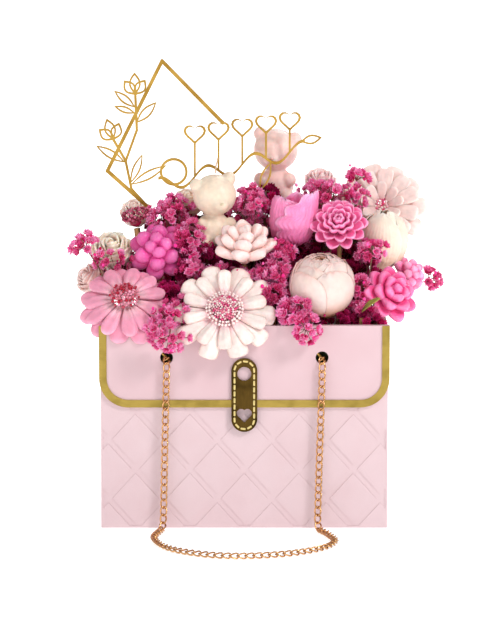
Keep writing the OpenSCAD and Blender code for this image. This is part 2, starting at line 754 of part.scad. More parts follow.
// A moulded wax bear that sits on its holder and faces the viewer: roll tips its head
module bear(head_d, roll) {
  r = head_d / 2;
  translate([0, 0, r * 0.76]) sphere(r * 0.8, $fn = medium);
  for (way = [-1, 1]) {
    translate([way * r * 0.66, -r * 0.42, r * 1.06]) sphere(r * 0.3, $fn = small);
    translate([way * r * 0.56, -r * 0.56, r * 0.3]) sphere(r * 0.36, $fn = small);
  }
  translate([0, 0, r * 2.35]) rotate([0, roll, 0]) {
    sphere(r, $fn = medium);
    translate([0, -r * 0.8, -r * 0.28]) sphere(r * 0.38, $fn = small);
    for (way = [-1, 1])
      translate([way * r * 0.78, 0, r * 0.62]) sphere(r * 0.32, $fn = small);
  }
}

module cream_bear() color("#f8ecd8")
  translate(over_rim(cream_bear_at)) rotate([6, 0, 16]) {
    holder();
    bear(cream_head_d, -10);
  }

module cream_bear_wick() color("#f4efe2")
  translate(over_rim(cream_bear_at)) rotate([6, 0, 16]) {
    top = cream_head_d / 2 * 3.35 + fit;
    rod([0, 0, top], [0.6, 0, top + 6], 1.1, flat_sides);
    rod([0.6, 0, top + 5.6], [1.8, 0, top + 11], 0.9, flat_sides);
  }

module pink_bear() color("#f6cfd2")
  translate(over_rim(pink_bear_at)) rotate([4, 0, -8]) {
    holder();
    bear(pink_head_d, 8);
  }

module berry_sprig() color("#c5123f") stand(over_rim(berry_at), 30, -90) {
  holder();
  ring(5) translate([3.6, 0, 3.4]) sphere(2.3, $fn = small);
  ring(3, 20) translate([1.9, 0, 6]) sphere(2.2, $fn = small);
}

module green_leaf() color("#a9b84a") stand(over_rim(leaf_at), 30, -60) {
  holder();
  rotate([0, -20, 0]) rotate([0, 0, -40]) translate([0, 0, -0.5]) blade(26, 8, 1);
}

// ---------- gypsophila: sprays of florets on forked stems ----------

// A spray: its crown's place over the rim, its stem's place in the foam, its reach, its
// number of florets, its first floret's turn, and where its stem bends over the rim
SPRAYS_LEFT = [
  [[-114, -14, 55], [-80, -10], 10, 7, 112, [-102, -12, 36]],
  [[-101, 26, 46], [-77, 28], 8, 6, 55]];
SPRAYS_TOP_LEFT = [
  [[-50, 11, 78], [-40, 12], 12, 7, 10],
  [[-37, -20, 38], [-34, -16], 8, 6, 60]];
SPRAYS_FRONT = [
  [[-52, -70, -7], [-43, -28], 11, 7, 20, [-50, -47, 10]],
  [[-61, -71, -1], [-50, -30], 6, 4, 80, [-54, -47, 11]]];
SPRAYS_MIDDLE = [
  [[8, 5, 82], [6, 6], 9, 7, 0],
  [[-4, 35, 72], [-10, 30], 8, 5, 30]];
SPRAYS_CENTRE = [
  [[26, -19, 50], [21, -17], 9, 7, 75],
  [[23, -35, 35], [18, -28], 6, 4, 20],
  [[44, -65, -1], [34, -30], 9, 6, 10, [36, -47, 9]]];
SPRAYS_RIGHT = [
  [[90, -20, 52], [81, -8], 9, 6, 0],
  [[134, 20, 24], [76, 24], 8, 5, 70, [102, 24, 11]]];
SPRAYS_TOP_RIGHT = [
  [[62, 14, 88], [60, 12], 12, 7, 0],
  [[80, 28, 98], [76, 28], 8, 5, 45]];
SPRAYS_BACK = [
  [[-26, 48, 48], [-26, 40], 11, 7, 0],
  [[13, 55, 54], [12, 42], 8, 6, 75],
  [[70, 52, 40], [67, 36], 11, 7, 60],
  [[-92, 52, 30], [-76, 42], 10, 7, 90]];
SPRAYS = [SPRAYS_LEFT, SPRAYS_TOP_LEFT, SPRAYS_FRONT, SPRAYS_MIDDLE, SPRAYS_CENTRE,
  SPRAYS_RIGHT, SPRAYS_TOP_RIGHT, SPRAYS_BACK];

function spray_foot(spray) = [spray[1].x, spray[1].y, foam_top - pick_deep / 2];
function spray_bend(spray) = is_undef(spray[5]) ? spray_foot(spray) : over_rim(spray[5]);
function spray_aim(spray) = unit(over_rim(spray[0]) - spray_bend(spray));
function spray_head(spray) = is_undef(spray[5]) ? spray_fork(spray) : spray_bend(spray);
function spray_fork(spray) = over_rim(spray[0]) - spray_aim(spray) * spray[2] * 0.6;

// A floret's place on the dome round the fork: equal steps of area and the golden angle
function floret_at(spray, i) =
  let (aim = spray_aim(spray),
       side = unit(cross(aim, [1, 0.3, 0])),
       other = cross(aim, side),
       polar = acos(1 - (i + 0.5) / spray[3] * 0.86),
       turn = spray[4] + i * 137.5,
       away = spray[2] * (i % 2 == 0 ? 1.1 : 0.85))
  spray_fork(spray)
    + away * (cos(polar) * aim + sin(polar) * (cos(turn) * side + sin(turn) * other));

module sprays(bunch)
  for (spray = bunch) {
    fork = spray_fork(spray);
    rod(spray_bend(spray), fork, stem_d);
    if (!is_undef(spray[5])) {
      rod(spray_foot(spray), spray_bend(spray), stem_d);
      translate(spray_bend(spray)) sphere(stem_d * 0.6, $fn = small);
    }
    translate(fork) sphere(stem_d * 1.7, $fn = small);
    for (i = [0 : spray[3] - 1]) {
      at = floret_at(spray, i);
      rod(fork + unit(at - fork) * stem_d * 1.25, at, stem_d * 0.7);
      translate(at) sphere(floret_r, $fn = small);
    }
  }

module gypsophila_left() color("#e8388a") sprays(SPRAYS_LEFT);

module gypsophila_top_left() color("#e8388a") sprays(SPRAYS_TOP_LEFT);

module gypsophila_front() color("#e8388a") sprays(SPRAYS_FRONT);

module gypsophila_middle() color("#d92c78") sprays(SPRAYS_MIDDLE);

module gypsophila_centre() color("#e8388a") sprays(SPRAYS_CENTRE);

module gypsophila_right() color("#e8388a") sprays(SPRAYS_RIGHT);

module gypsophila_top_right() color("#ee4f98") sprays(SPRAYS_TOP_RIGHT);

module gypsophila_back() color("#e8388a") sprays(SPRAYS_BACK);

// ---------- topper ----------

stake_deep = 58;

// A bar between two points of the flat drawing, with round ends
module bar(from, to, wide) {
  along = to - from;
  translate((from + to) / 2)
    rotate(atan2(along.y, along.x)) square([norm(along), wide], center = true);
  for (end = [from, to]) translate(end) circle(d = wide * 1.06, $fn = small);
}

// An outlined leaf or petal from a foot towards a tip
module outlined_leaf(foot, tip, wid) {
  along = tip - foot;
  translate(foot) rotate(atan2(along.y, along.x)) difference() {
    blade_outline(norm(along), wid);
    translate([line_w * 1.6, 0])
      blade_outline(norm(along) - 3.2 * line_w, wid - 2 * line_w);
  }
}

// An outlined flower head of three petals on its stem's end
module outlined_head(foot, turn)
  for (petal = [[-36, 13], [0, 16], [36, 13]]) {
    way = turn + petal[0];
    outlined_leaf(foot, foot + petal[1] * [cos(way), sin(way)], 8.5);
  }

// The hearts stand in a rising row, each on a stem from the vine, and the vine waves
// about a line that rises more steeply
heart_pitch = topper_heart_w * 1.05;
function heart_place(i) = [32 + i * heart_pitch, 53.5 + i * heart_pitch * tan(8)];
function vine_at(x) =
  [x, 23 + (x - 32) * tan(14.5) + 5.5 * sin((x - 32) / heart_pitch * 180)];

module topper_frame() {
  low = [0, 0];
  left = [-30, 27];
  top = [9, 105];
  bar(low, left, bar_w);
  bar(left, top, bar_w);
  bar(top, heart_place(1) + [3, 5.4], bar_w);
  translate([-bar_w / 2, -topper_rise - foam_down - stake_deep + bar_w])
    square([bar_w, topper_rise + foam_down + stake_deep - bar_w]);
}

module topper_sprig() {
  bar([-2, 2], [-13, 14], vine_w);
  bar([-13, 14], [-17, 34], vine_w);
  bar([-17, 34], [-9, 56], vine_w);
  bar([-9, 56], [-10, 82], vine_w);
  bar([-17, 34], [-26, 50], vine_w);
  outlined_head([-10, 81], 92);
  outlined_head([-25.5, 49], 108);
  outlined_leaf([-10, 72], [-25, 84], 6);
  outlined_leaf([-10, 68], [-25, 73], 5);
  outlined_leaf([-9.5, 61], [5, 76], 7);
  outlined_leaf([-17.5, 33], [-38, 45], 6.5);
  outlined_leaf([-13.8, 18], [-5, 39], 6);
  outlined_leaf([-13.6, 17], [12, 31], 6.5);
}

// A heart as one smooth curve, wid across, centred a little below its notch
module curved_heart(wid)
  polygon([for (t = [0 : 15 : 345])
    wid / 32 * [16 * pow(sin(t), 3), 13 * cos(t) - 5 * cos(2 * t) - 2 * cos(3 * t) - cos(4 * t)]]);

module topper_hearts()
  for (i = [0 : 4]) {
    translate(heart_place(i)) difference() {
      curved_heart(topper_heart_w);
      translate([0, 0.3]) curved_heart(topper_heart_w - 2 * vine_w);
    }
    bar(heart_place(i) - [0, topper_heart_w * 0.37], vine_at(heart_place(i).x), vine_w * 0.8);
  }

// The vine: a ribbon as wide everywhere when measured upright, with a ring at its start
module topper_vine() {
  first = 6;
  last = 110;
  polygon(concat(
    [for (x = [first : 2 : last]) vine_at(x) + [0, vine_w * 0.6]],
    [for (x = [last : -2 : first]) vine_at(x) - [0, vine_w * 0.6]]));
  translate(vine_at(17) + [0, 9]) difference() {
    circle(9 + vine_w / 2, $fn = medium);
    circle(9 - vine_w / 2, $fn = medium);
  }
  outlined_leaf(vine_at(last - 3), vine_at(last - 3) + [15, 3], 7);
  outlined_leaf(vine_at(52), vine_at(52) + [-7, -18], 7);
  outlined_leaf(vine_at(86), vine_at(86) + [-8, -21], 7);
}

module cut_plate() upright(topper_y - topper_t / 2, topper_t) children();

module topper() color("#c39b45")
  translate([topper_x, 0, box_h + topper_rise]) {
    cut_plate() topper_frame();
    cut_plate() topper_sprig();
    cut_plate() topper_hearts();
    cut_plate() topper_vine();
  }

front_panel();
back_panel();
left_panel();
right_panel();
base_panel();
flap_panel();
flap_trim();
clasp_plate();
clasp_stitching();
chain_left_drop();
chain_floor_run();
chain_right_drop();
left_toggle();
right_toggle();
foam_block();
flower_picks();
pink_gerbera();
gerbera_beads();
blush_daisy();
daisy_beads();
egg_petal_bloom();
cream_lotus();
cream_rose();
pale_rose();
dusty_rose();
peach_rose();
blush_rose();
ribbed_bloom();
pink_dahlia();
peony();
cream_tulip();
magenta_succulent();
ball_petal_bloom();
back_daisy();
rear_rose_left();
rear_rose_middle();
rear_rose_right();
cream_bear();
cream_bear_wick();
pink_bear();
berry_sprig();
green_leaf();
gypsophila_left();
gypsophila_top_left();
gypsophila_front();
gypsophila_middle();
gypsophila_centre();
gypsophila_right();
gypsophila_top_right();
gypsophila_back();
topper();
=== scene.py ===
# %% [markdown]
# # A flower box: wax flowers and gypsophila in a card handbag
# The frame (box, clasp, chain, foam and topper) comes packed from the CAD. This lesson
# gives each piece its looks, one kind of piece at a time.

import math
import random

import bmesh
import bpy
import numpy as np
from mathutils import Matrix, Vector


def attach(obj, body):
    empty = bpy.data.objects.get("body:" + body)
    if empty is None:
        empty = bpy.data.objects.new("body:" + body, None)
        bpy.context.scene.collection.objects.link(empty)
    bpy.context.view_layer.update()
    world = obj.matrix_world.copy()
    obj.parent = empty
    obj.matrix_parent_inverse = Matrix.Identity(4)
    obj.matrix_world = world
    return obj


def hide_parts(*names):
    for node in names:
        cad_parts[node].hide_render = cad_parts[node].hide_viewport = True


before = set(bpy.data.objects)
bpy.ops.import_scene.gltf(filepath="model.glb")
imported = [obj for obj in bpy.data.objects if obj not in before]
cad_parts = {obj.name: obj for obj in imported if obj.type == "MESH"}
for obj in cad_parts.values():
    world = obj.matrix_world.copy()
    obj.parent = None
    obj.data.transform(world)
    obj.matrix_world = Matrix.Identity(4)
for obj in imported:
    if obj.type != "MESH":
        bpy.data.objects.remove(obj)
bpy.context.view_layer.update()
MM = 0.001
FLOWERS = "box_and_flowers"
BOX_H = 142.0
scene = bpy.context.scene
scene.view_settings.view_transform = "Standard"
print("frame:", len(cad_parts), "nodes")

# %% [markdown]
# ## Camera
# A long lens far away keeps the box's sides nearly parallel. It looks down a
# little. A short lens would stand closer, but it would spread the box towards its rim.

# %% Camera
camera_data = bpy.data.cameras.new("camera")
camera_data.lens = 209
camera_data.sensor_width = 36
camera_data.clip_end = 50
camera = bpy.data.objects.new("camera", camera_data)
scene.collection.objects.link(camera)
camera.location = Vector((-3, -2519, 545)) * MM
aim = Vector((-3, -50, 154)) * MM - camera.location
camera.rotation_euler = aim.to_track_quat("-Z", "Y").to_euler()
scene.camera = camera
print("camera:", round(aim.length, 2), "m away")

# %% [markdown]
# ## Small helpers: colours, nodes, meshes
# Colours are written as they look on a screen and turned to linear light. Meshes are
# gathered in millimetres, with a value or two for each point that the materials read.


# %% Small helpers: colours, nodes, meshes
def linear(hex_colour):
    parts = [int(hex_colour[i : i + 2], 16) / 255 for i in (1, 3, 5)]
    return [c / 12.92 if c <= 0.04045 else ((c + 0.055) / 1.055) ** 2.4 for c in parts] + [1.0]


def add_node(tree, kind, inputs=None, **settings):
    """A node with its settings, and each input linked to a socket or set to a value."""
    node = tree.nodes.new(kind)
    for key, value in settings.items():
        setattr(node, key, value)
    for key, value in (inputs or {}).items():
        if isinstance(value, bpy.types.NodeSocket):
            tree.links.new(value, node.inputs[key])
        else:
            node.inputs[key].default_value = value
    return node


def new_material(name, values):
    """A material with its Principled shader set to values: gives (material, tree, shader)."""
    material = bpy.data.materials.new(name)
    material.use_nodes = True
    tree = material.node_tree
    shader = tree.nodes["Principled BSDF"]
    for key, value in values.items():
        shader.inputs[key].default_value = value
    return material, tree, shader


def where(tree):
    """Socket of the place on the object, in metres."""
    return add_node(tree, "ShaderNodeTexCoord").outputs["Object"]


def value_of(tree, name):
    """Socket of a value that the mesh keeps for each point."""
    return add_node(tree, "ShaderNodeAttribute", attribute_name=name).outputs["Fac"]


def mix_colour(tree, factor, first, second):
    """Socket of two colours mixed by factor."""
    inputs = {0: factor, 6: first, 7: second}
    return add_node(tree, "ShaderNodeMix", inputs, data_type="RGBA").outputs[2]


def paint(tree, shader, factor, first, second):
    """The shader's colour goes from first to second by factor."""
    colour = mix_colour(tree, factor, linear(first), linear(second))
    tree.links.new(colour, shader.inputs["Base Color"])


def shade(tree, shader, colour, value):
    """The shader takes colour, lightened or darkened by value."""
    node = add_node(tree, "ShaderNodeHueSaturation", {"Color": colour, "Value": value})
    tree.links.new(node.outputs["Color"], shader.inputs["Base Color"])


def ramp(tree, value, low, high, to_low=0.0, to_high=1.0):
    """Socket of value taken smoothly from the range low..high to to_low..to_high."""
    return add_node(
        tree,
        "ShaderNodeMapRange",
        {"Value": value, "From Min": low, "From Max": high, "To Min": to_low, "To Max": to_high},
        interpolation_type="SMOOTHSTEP",
    ).outputs["Result"]


def noise(tree, size_mm, detail=3.0, distortion=0.0, vector=None):
    """Socket of noise whose blots are size_mm wide."""
    if vector is None:
        vector = where(tree)
    scale = 1 / (size_mm * MM)
    inputs = {"Vector": vector, "Scale": scale, "Detail": detail, "Distortion": distortion}
    return add_node(tree, "ShaderNodeTexNoise", inputs).outputs["Fac"]


def roughen(tree, shader, value, low, high):
    """The shader's roughness follows value from low to high."""
    tree.links.new(ramp(tree, value, 0.3, 0.7, low, high), shader.inputs["Roughness"])


def bump(tree, shader, height, deep_mm, strength=1.0, after=None):
    """Bump of the height socket, deep_mm from 0 to 1, on the shader."""
    inputs = {"Height": height, "Distance": deep_mm * MM, "Strength": strength}
    if after is not None:
        inputs["Normal"] = after
    node = add_node(tree, "ShaderNodeBump", inputs)
    tree.links.new(node.outputs["Normal"], shader.inputs["Normal"])
    return node.outputs["Normal"]


print("node helpers ready")

# %% [markdown]
# ## Heaps
# Links, petals and florets come in hundreds. Each could be an object of its own, but
# then the file is slow to open. A heap gathers their points and faces and makes one
# object of each flower.

# %% Heaps


def face_outward(mesh):
    """Turn all faces of closed shapes outwards."""
    work = bmesh.new()
    work.from_mesh(mesh)
    bmesh.ops.recalc_face_normals(work, faces=work.faces)
    work.to_mesh(mesh)
    work.free()


class Heap:
    """Points in mm, faces and values per point, gathered from many parts."""

    def __init__(self):
        self.points, self.faces, self.slots, self.values, self.count = [], [], [], {}, 0

    def add(self, points, faces, place=None, slot=0, **values):
        points = np.asarray(points, float).reshape(-1, 3)
        if place is not None:
            place = np.array(place)
            points = points @ place[:3, :3].T + place[:3, 3]
        self.points.append(points)
        self.faces.extend([[i + self.count for i in face] for face in faces])
        self.slots.extend([slot] * len(faces))
        for key, value in values.items():
            column = np.broadcast_to(np.asarray(value, float), (len(points),))
            self.values.setdefault(key, []).append(column)
        self.count += len(points)

    def piece(self, name, materials, body=FLOWERS, slot=None, replaces=(), outward=True):
        """The object of everything gathered, riding on its body."""
        mesh = bpy.data.meshes.new(name)
        mesh.from_pydata((np.vstack(self.points) * MM).tolist(), [], self.faces)
        for key, columns in self.values.items():
            values = np.concatenate(columns).astype(np.float32)
            mesh.attributes.new(key, "FLOAT", "POINT").data.foreach_set("value", values)
        mesh.polygons.foreach_set("material_index", self.slots)
        if outward:
            face_outward(mesh)
        mesh.polygons.foreach_set("use_smooth", [True] * len(mesh.polygons))
        obj = bpy.data.objects.new(name, mesh)
        scene.collection.objects.link(obj)
        for material in materials:
            mesh.materials.append(material)
        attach(obj, body)
        if replaces:
            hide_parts(*replaces)
        return obj


print("heaps ready")

# %% [markdown]
# ## Tubes and places
# Wire, stems and a wick are round and bent. A curve with a bevel would make them too.
# Here the rings are worked out, so that a chain link can be turned as a whole.

# %% Tubes and places


def tube_faces(rows, ring, closed=False):
    """Faces of a grid of rings: closed joins the last ring to the first, else two caps."""
    faces = []
    for i in range(rows if closed else rows - 1):
        for j in range(ring):
            k, n = (j + 1) % ring, (i + 1) % rows
            faces.append([i * ring + j, i * ring + k, n * ring + k, n * ring + j])
    if not closed:
        faces.append(list(range(ring))[::-1])
        faces.append([(rows - 1) * ring + j for j in range(ring)])
    return faces


def tube(path, radius, sides=6, closed=False, start=(0, 0, 1)):
    """Points and faces of a tube along path, its frame carried along without twist."""
    path = np.asarray(path, float)
    n = len(path)
    if closed:
        ahead = np.roll(path, -1, 0) - np.roll(path, 1, 0)
    else:
        ahead = np.gradient(path, axis=0)
    ahead /= np.linalg.norm(ahead, axis=1)[:, None]
    side = np.asarray(start, float)
    if abs(ahead[0] @ side) > 0.95:
        side = np.array([1.0, 0, 0])
    rings = []
    for i in range(n):
        side = side - ahead[i] * (ahead[i] @ side)
        side /= np.linalg.norm(side)
        other = np.cross(ahead[i], side)
        turn = np.linspace(0, 2 * math.pi, sides, endpoint=False)[:, None]
        r = radius[i] if hasattr(radius, "__len__") else radius
        rings.append(path[i] + r * (np.cos(turn) * side + np.sin(turn) * other))
    return np.vstack(rings), tube_faces(n, sides, closed)


def turn_z(angle):
    return Matrix.Rotation(math.radians(angle), 4, "Z")


def turn_y(angle):
    return Matrix.Rotation(math.radians(angle), 4, "Y")


def turn_x(angle):
    return Matrix.Rotation(math.radians(angle), 4, "X")


def move(x, y, z):
    return Matrix.Translation((x, y, z))


def stand(place, tilt=0, heading=-90):
    """Place over the rim, in mm, of a thing that leans by tilt towards heading."""
    x, y, z = place
    return move(x, y, z + BOX_H) @ turn_z(heading) @ turn_y(tilt) @ turn_z(-heading)


def petal_place(count, i, turn, foot, height, tilt):
    """Place of petal i of a ring, as the CAD has it."""
    return turn_z(turn + i * 360 / count) @ move(foot, 0, height) @ turn_y(-tilt)


print("helpers ready")

# %% [markdown]
# ## Chain: real links of twisted wire
# The chain is a free cord of fixed length, so it comes early. Each link is an oval of
# wire twisted about its length, as in a curb chain, so that neighbours lie flat.

# %% Chain: real links of twisted wire
# Height of a flat link's middle over the floor
LIE = 2.185
ROUTE = [
    [-54, -43.4, 120], [-54, -45.4, 120], [-54, -50, 120], [-54, -52.9, 119.4],
    [-54, -55.7, 115.8], [-54, -56, 111], [-54.8, -56, 80], [-55.6, -56, 45],
    [-56.2, -56, 18], [-56.5, -57.4, 8], [-57, -62, 2.8], [-58.5, -70, LIE],
    [-62, -93, LIE], [-52, -122, LIE], [-30, -141, LIE], [-3, -148, LIE],
    [28, -141, LIE], [52, -124, LIE], [62, -103, LIE], [58, -80, LIE],
    [53.5, -68, LIE], [51.8, -62, 2.8], [51.2, -57.4, 8], [51.4, -56, 18],
    [52.2, -56, 50], [53.3, -56, 85], [54, -56, 111], [54, -55.7, 115.8],
    [54, -52.9, 119.4], [54, -50, 120], [54, -45.4, 120], [54, -43.4, 120],
]  # fmt: skip
LINKS = 94
LINK_INSIDE = (5.45, 2.8)
WIRE = 1.2
LINK_TWIST = 42
# How far links on the floor lean to the front, and the clearance they keep under them
LEAN = 0.9
CLEAR = 0.1


def smooth_route(points, steps=40):
    """A Catmull-Rom curve through all points but the first and last, which only aim it."""
    points = np.array(points, float)
    out = []
    for a, b, c, d in zip(points, points[1:], points[2:], points[3:]):
        for k in range(steps):
            t = k / steps
            out.append(
                0.5 * (2 * b + (c - a) * t + (2 * a - 5 * b + 4 * c - d) * t**2
                       + (3 * b - a - 3 * c + d) * t**3)
            )  # fmt: skip
    out.append(points[-2])
    return np.array(out)


def even_points(path, count):
    """Count points at equal distances along path, and its length."""
    steps = np.linalg.norm(np.diff(path, axis=0), axis=1)
    at = np.concatenate([[0], np.cumsum(steps)])
    want = np.linspace(0, at[-1], count)
    return np.stack([np.interp(want, at, path[:, k]) for k in range(3)], 1), at[-1]


def link_loop(points=26):
    """Middle line of one link along X: an oval whose two ends are twisted apart."""
    long, wide = [(s + WIRE) / 2 for s in LINK_INSIDE]
    straight = long - wide
    turn = np.linspace(0, 2 * math.pi, points, endpoint=False)
    x = wide * np.cos(turn) + straight * np.tanh(3 * np.cos(turn))
    y = wide * np.sin(turn)
    twist = math.radians(LINK_TWIST) * x / long
    return np.stack([x, y * np.cos(twist), y * np.sin(twist)], 1)


print("route:", len(ROUTE), "points")

# %% [markdown]
# ## Rose-gold wire
# The links are brass wire with a thin rose-gold plating. A plain metal looks too even
# at this size, so noise a few millimetres wide changes its colour and shine.

# %% Rose-gold wire
# Plated wire: rosy where it is new, yellower and duller where links rub, and darker
# towards brown where it turns away from the camera, which is painted shade
chain_metal, tree, shader = new_material(
    "chain_rose_gold", {"Metallic": 1.0, "Roughness": 0.24, "IOR": 1.5}
)
wear = noise(tree, 2.6, 2.0)
# Painted shade: the wire darkens towards brown where it turns away from the camera
rim = add_node(tree, "ShaderNodeLayerWeight", {"Blend": 0.5}).outputs["Facing"]
gold = mix_colour(tree, ramp(tree, wear, 0.35, 0.65), linear("#e3b27c"), linear("#cf9a66"))
tree.links.new(
    mix_colour(tree, ramp(tree, rim, 0.35, 0.85), gold, linear("#7a4a26")),
    shader.inputs["Base Color"],
)
roughen(tree, shader, wear, 0.18, 0.34)
bump(tree, shader, noise(tree, 0.5, 2.0), 0.02)
print("chain metal ready")

# %% [markdown]
# ## Laying the links
# Links could hang by a simulation, but the cord's length is known and so is its path.
# Each link is set at an even step along the path, turned with it, and lifted clear of
# the floor.

# %% Laying the links
route = smooth_route(ROUTE)
places, chain_length = even_points(route, 2 * LINKS + 1)
middles = places[1::2]
ahead = places[2::2] - places[:-1:2]
ahead /= np.linalg.norm(ahead, axis=1)[:, None]
loop = link_loop()
chain_heap = Heap()
face_way = np.array([0.0, 0.0, 1.0])
for at, along in zip(middles, ahead):
    face_way = face_way - along * (face_way @ along)
    face_way /= np.linalg.norm(face_way)
    # On the floor the links lean over towards the front, each on its neighbour
    lean = LEAN * np.clip((12 - at[2]) / 8, 0, 1)
    facing = face_way + lean * np.array([0.0, -1.0, 0.0])
    facing = facing - along * (facing @ along)
    facing /= np.linalg.norm(facing)
    basis = np.stack([along, np.cross(facing, along), facing], 1)
    line = loop @ basis.T + at
    line[:, 2] += max(0, WIRE / 2 + CLEAR - line[:, 2].min())
    points, faces = tube(line, WIRE / 2, 8, closed=True, start=facing)
    chain_heap.add(points, faces)
chain = chain_heap.piece(
    "chain",
    [chain_metal],
    slot="rose_gold",
    replaces=("chain_left_drop", "chain_floor_run", "chain_right_drop"),
)
print("chain:", LINKS, "links on", round(chain_length, 1), "mm")

# %% [markdown]
# ## Card, gold band and clasp: materials for the CAD's own pieces
# The CAD shapes stay. A small bevel softens their edges.


# %% Card, gold band and clasp: materials for the CAD's own pieces
def card_material(name, colour, edge):
    """Printed card: matt, with fine paper fibres and a hardly visible cloudiness."""
    material, tree, shader = new_material(
        name, {"Roughness": 0.5, "IOR": 1.5, "Coat Weight": 0.12, "Coat Roughness": 0.35}
    )
    paint(tree, shader, ramp(tree, noise(tree, 34, 2.0), 0.3, 0.7), colour, edge)
    fibres = noise(tree, 0.7, 4.0, 0.6)
    roughen(tree, shader, fibres, 0.44, 0.58)
    first = bump(tree, shader, noise(tree, 9, 2.0), 0.06, 0.5)
    bump(tree, shader, fibres, 0.03, 0.6, after=first)
    return material


card = card_material("pink_card", "#d5babe", "#d8bfc3")
# The flap is the same card painted a little darker: painted shade on the flap
shaded_flap_card = card_material("pink_flap_card", "#d3b3b8", "#d6b8bd")
print("card ready")

# %% [markdown]
# ## Foil and plated metal
# The band is foil pressed on card, the clasp a cast plate, the topper gilt board. All
# shine along a direction, which fine stretched noise gives better than a picture would.

# %% Foil and plated metal
# Width of a brush line in metal
GRAIN_MM = 0.5


def metal_material(name, colour, dark, roughness, stretch=(1, 1, 12)):
    """Metal or foil: colour clouded towards dark, with fine brush lines along stretch."""
    material, tree, shader = new_material(
        name, {"Metallic": 1.0, "Roughness": roughness, "IOR": 1.5}
    )
    lines = add_node(
        tree, "ShaderNodeMapping", {"Vector": where(tree), "Scale": [1 / s for s in stretch]}
    ).outputs["Vector"]
    grain = noise(tree, GRAIN_MM, 3.0, vector=lines)
    paint(tree, shader, ramp(tree, noise(tree, 12, 2.0), 0.35, 0.7), colour, dark)
    roughen(tree, shader, grain, roughness * 0.8, roughness * 1.3)
    bump(tree, shader, grain, 0.02, 0.5)
    return material


# Gold foil on a band, a bronze-coloured clasp, cut gold board for the topper
band_gold = metal_material("gold_foil_band", "#a48c46", "#8d7838", 0.36, stretch=(8, 1, 1))
clasp_bronze = metal_material("antique_bronze", "#54401c", "#362810", 0.34)
toggle_gold = metal_material("toggle_gold", "#c9a557", "#b08a3e", 0.26)
topper_gold = metal_material("topper_gold", "#bb9547", "#a27c34", 0.38, stretch=(1, 1, 6))
print("metals ready")

# %% [markdown]
# ## Thread, foam and wood
# Stitches are plied thread, the foam is open cells, the picks are birch. Each has one
# pattern whose size comes from the real one: ply lines, half-millimetre cells, long
# grain.

# %% Thread, foam and wood
thread, tree, shader = new_material(
    "stitch_thread", {"Roughness": 0.6, "Base Color": linear("#d9c37a"), "Sheen Weight": 0.3}
)


def twisted(tree, shader, scale, distortion, deep_mm):
    """Fine slanting lines, as plied or braided threads have."""
    inputs = {"Scale": scale, "Distortion": distortion, "Vector": where(tree)}
    lines = add_node(tree, "ShaderNodeTexWave", inputs, bands_direction="DIAGONAL")
    bump(tree, shader, lines.outputs["Fac"], deep_mm)


twisted(tree, shader, 900.0, 1.0, 0.08)

foam, tree, shader = new_material("floral_foam", {"Roughness": 0.95, "IOR": 1.4})
# Wet floral foam: open cells of half a millimetre
inputs = {"Scale": 1 / (0.6 * MM), "Vector": where(tree)}
cells = add_node(tree, "ShaderNodeTexVoronoi", inputs).outputs["Distance"]
paint(tree, shader, ramp(tree, noise(tree, 8), 0.3, 0.7), "#3c4a2f", "#526240")
bump(tree, shader, cells, 0.3)

wood, tree, shader = new_material("pick_wood", {"Roughness": 0.7, "IOR": 1.5})
# Birch picks: grain along their length
inputs = {"Vector": where(tree), "Scale": (1, 1, 0.06)}
lengthwise = add_node(tree, "ShaderNodeMapping", inputs).outputs["Vector"]
grain = noise(tree, 0.4, 3.0, vector=lengthwise)
paint(tree, shader, ramp(tree, grain, 0.35, 0.65), "#b58f5c", "#8d6a3e")
bump(tree, shader, grain, 0.05)
print("thread, foam and wood ready")

# %% [markdown]
# ## Dressing the pieces
# Real card and metal never end in a perfect edge. The edges could be cut in CAD, but a
# bevel modifier of a fifth of a millimetre catches the light as well and leaves the
# solids alone.

# %% Dressing the pieces


def dress(node, material, bevel_mm=0.0):
    """Give a CAD node its material and a small rounded edge."""
    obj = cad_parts[node]
    obj.data.materials.clear()
    obj.data.materials.append(material)
    if bevel_mm:
        soften = obj.modifiers.new("edges", "BEVEL")
        soften.width = bevel_mm * MM
        soften.segments = 2
        soften.limit_method = "ANGLE"
        soften.angle_limit = math.radians(30)


for node in ("front_panel", "back_panel", "left_panel", "right_panel", "base_panel"):
    dress(node, card, 0.18)
dress("flap_panel", shaded_flap_card, 0.2)
dress("flap_trim", band_gold, 0.25)
dress("clasp_plate", clasp_bronze, 0.25)
dress("clasp_stitching", thread, 0.1)
dress("left_toggle", toggle_gold)
dress("right_toggle", toggle_gold)
dress("foam_block", foam)
dress("flower_picks", wood)
dress("topper", topper_gold, 0.15)
print("CAD pieces dressed")

# %% [markdown]
# ## Wax and how a petal is made
# Cast wax lets light in under its skin. A thick petal is a closed grid: rows along it,
# and in each row a ring of points round its section.


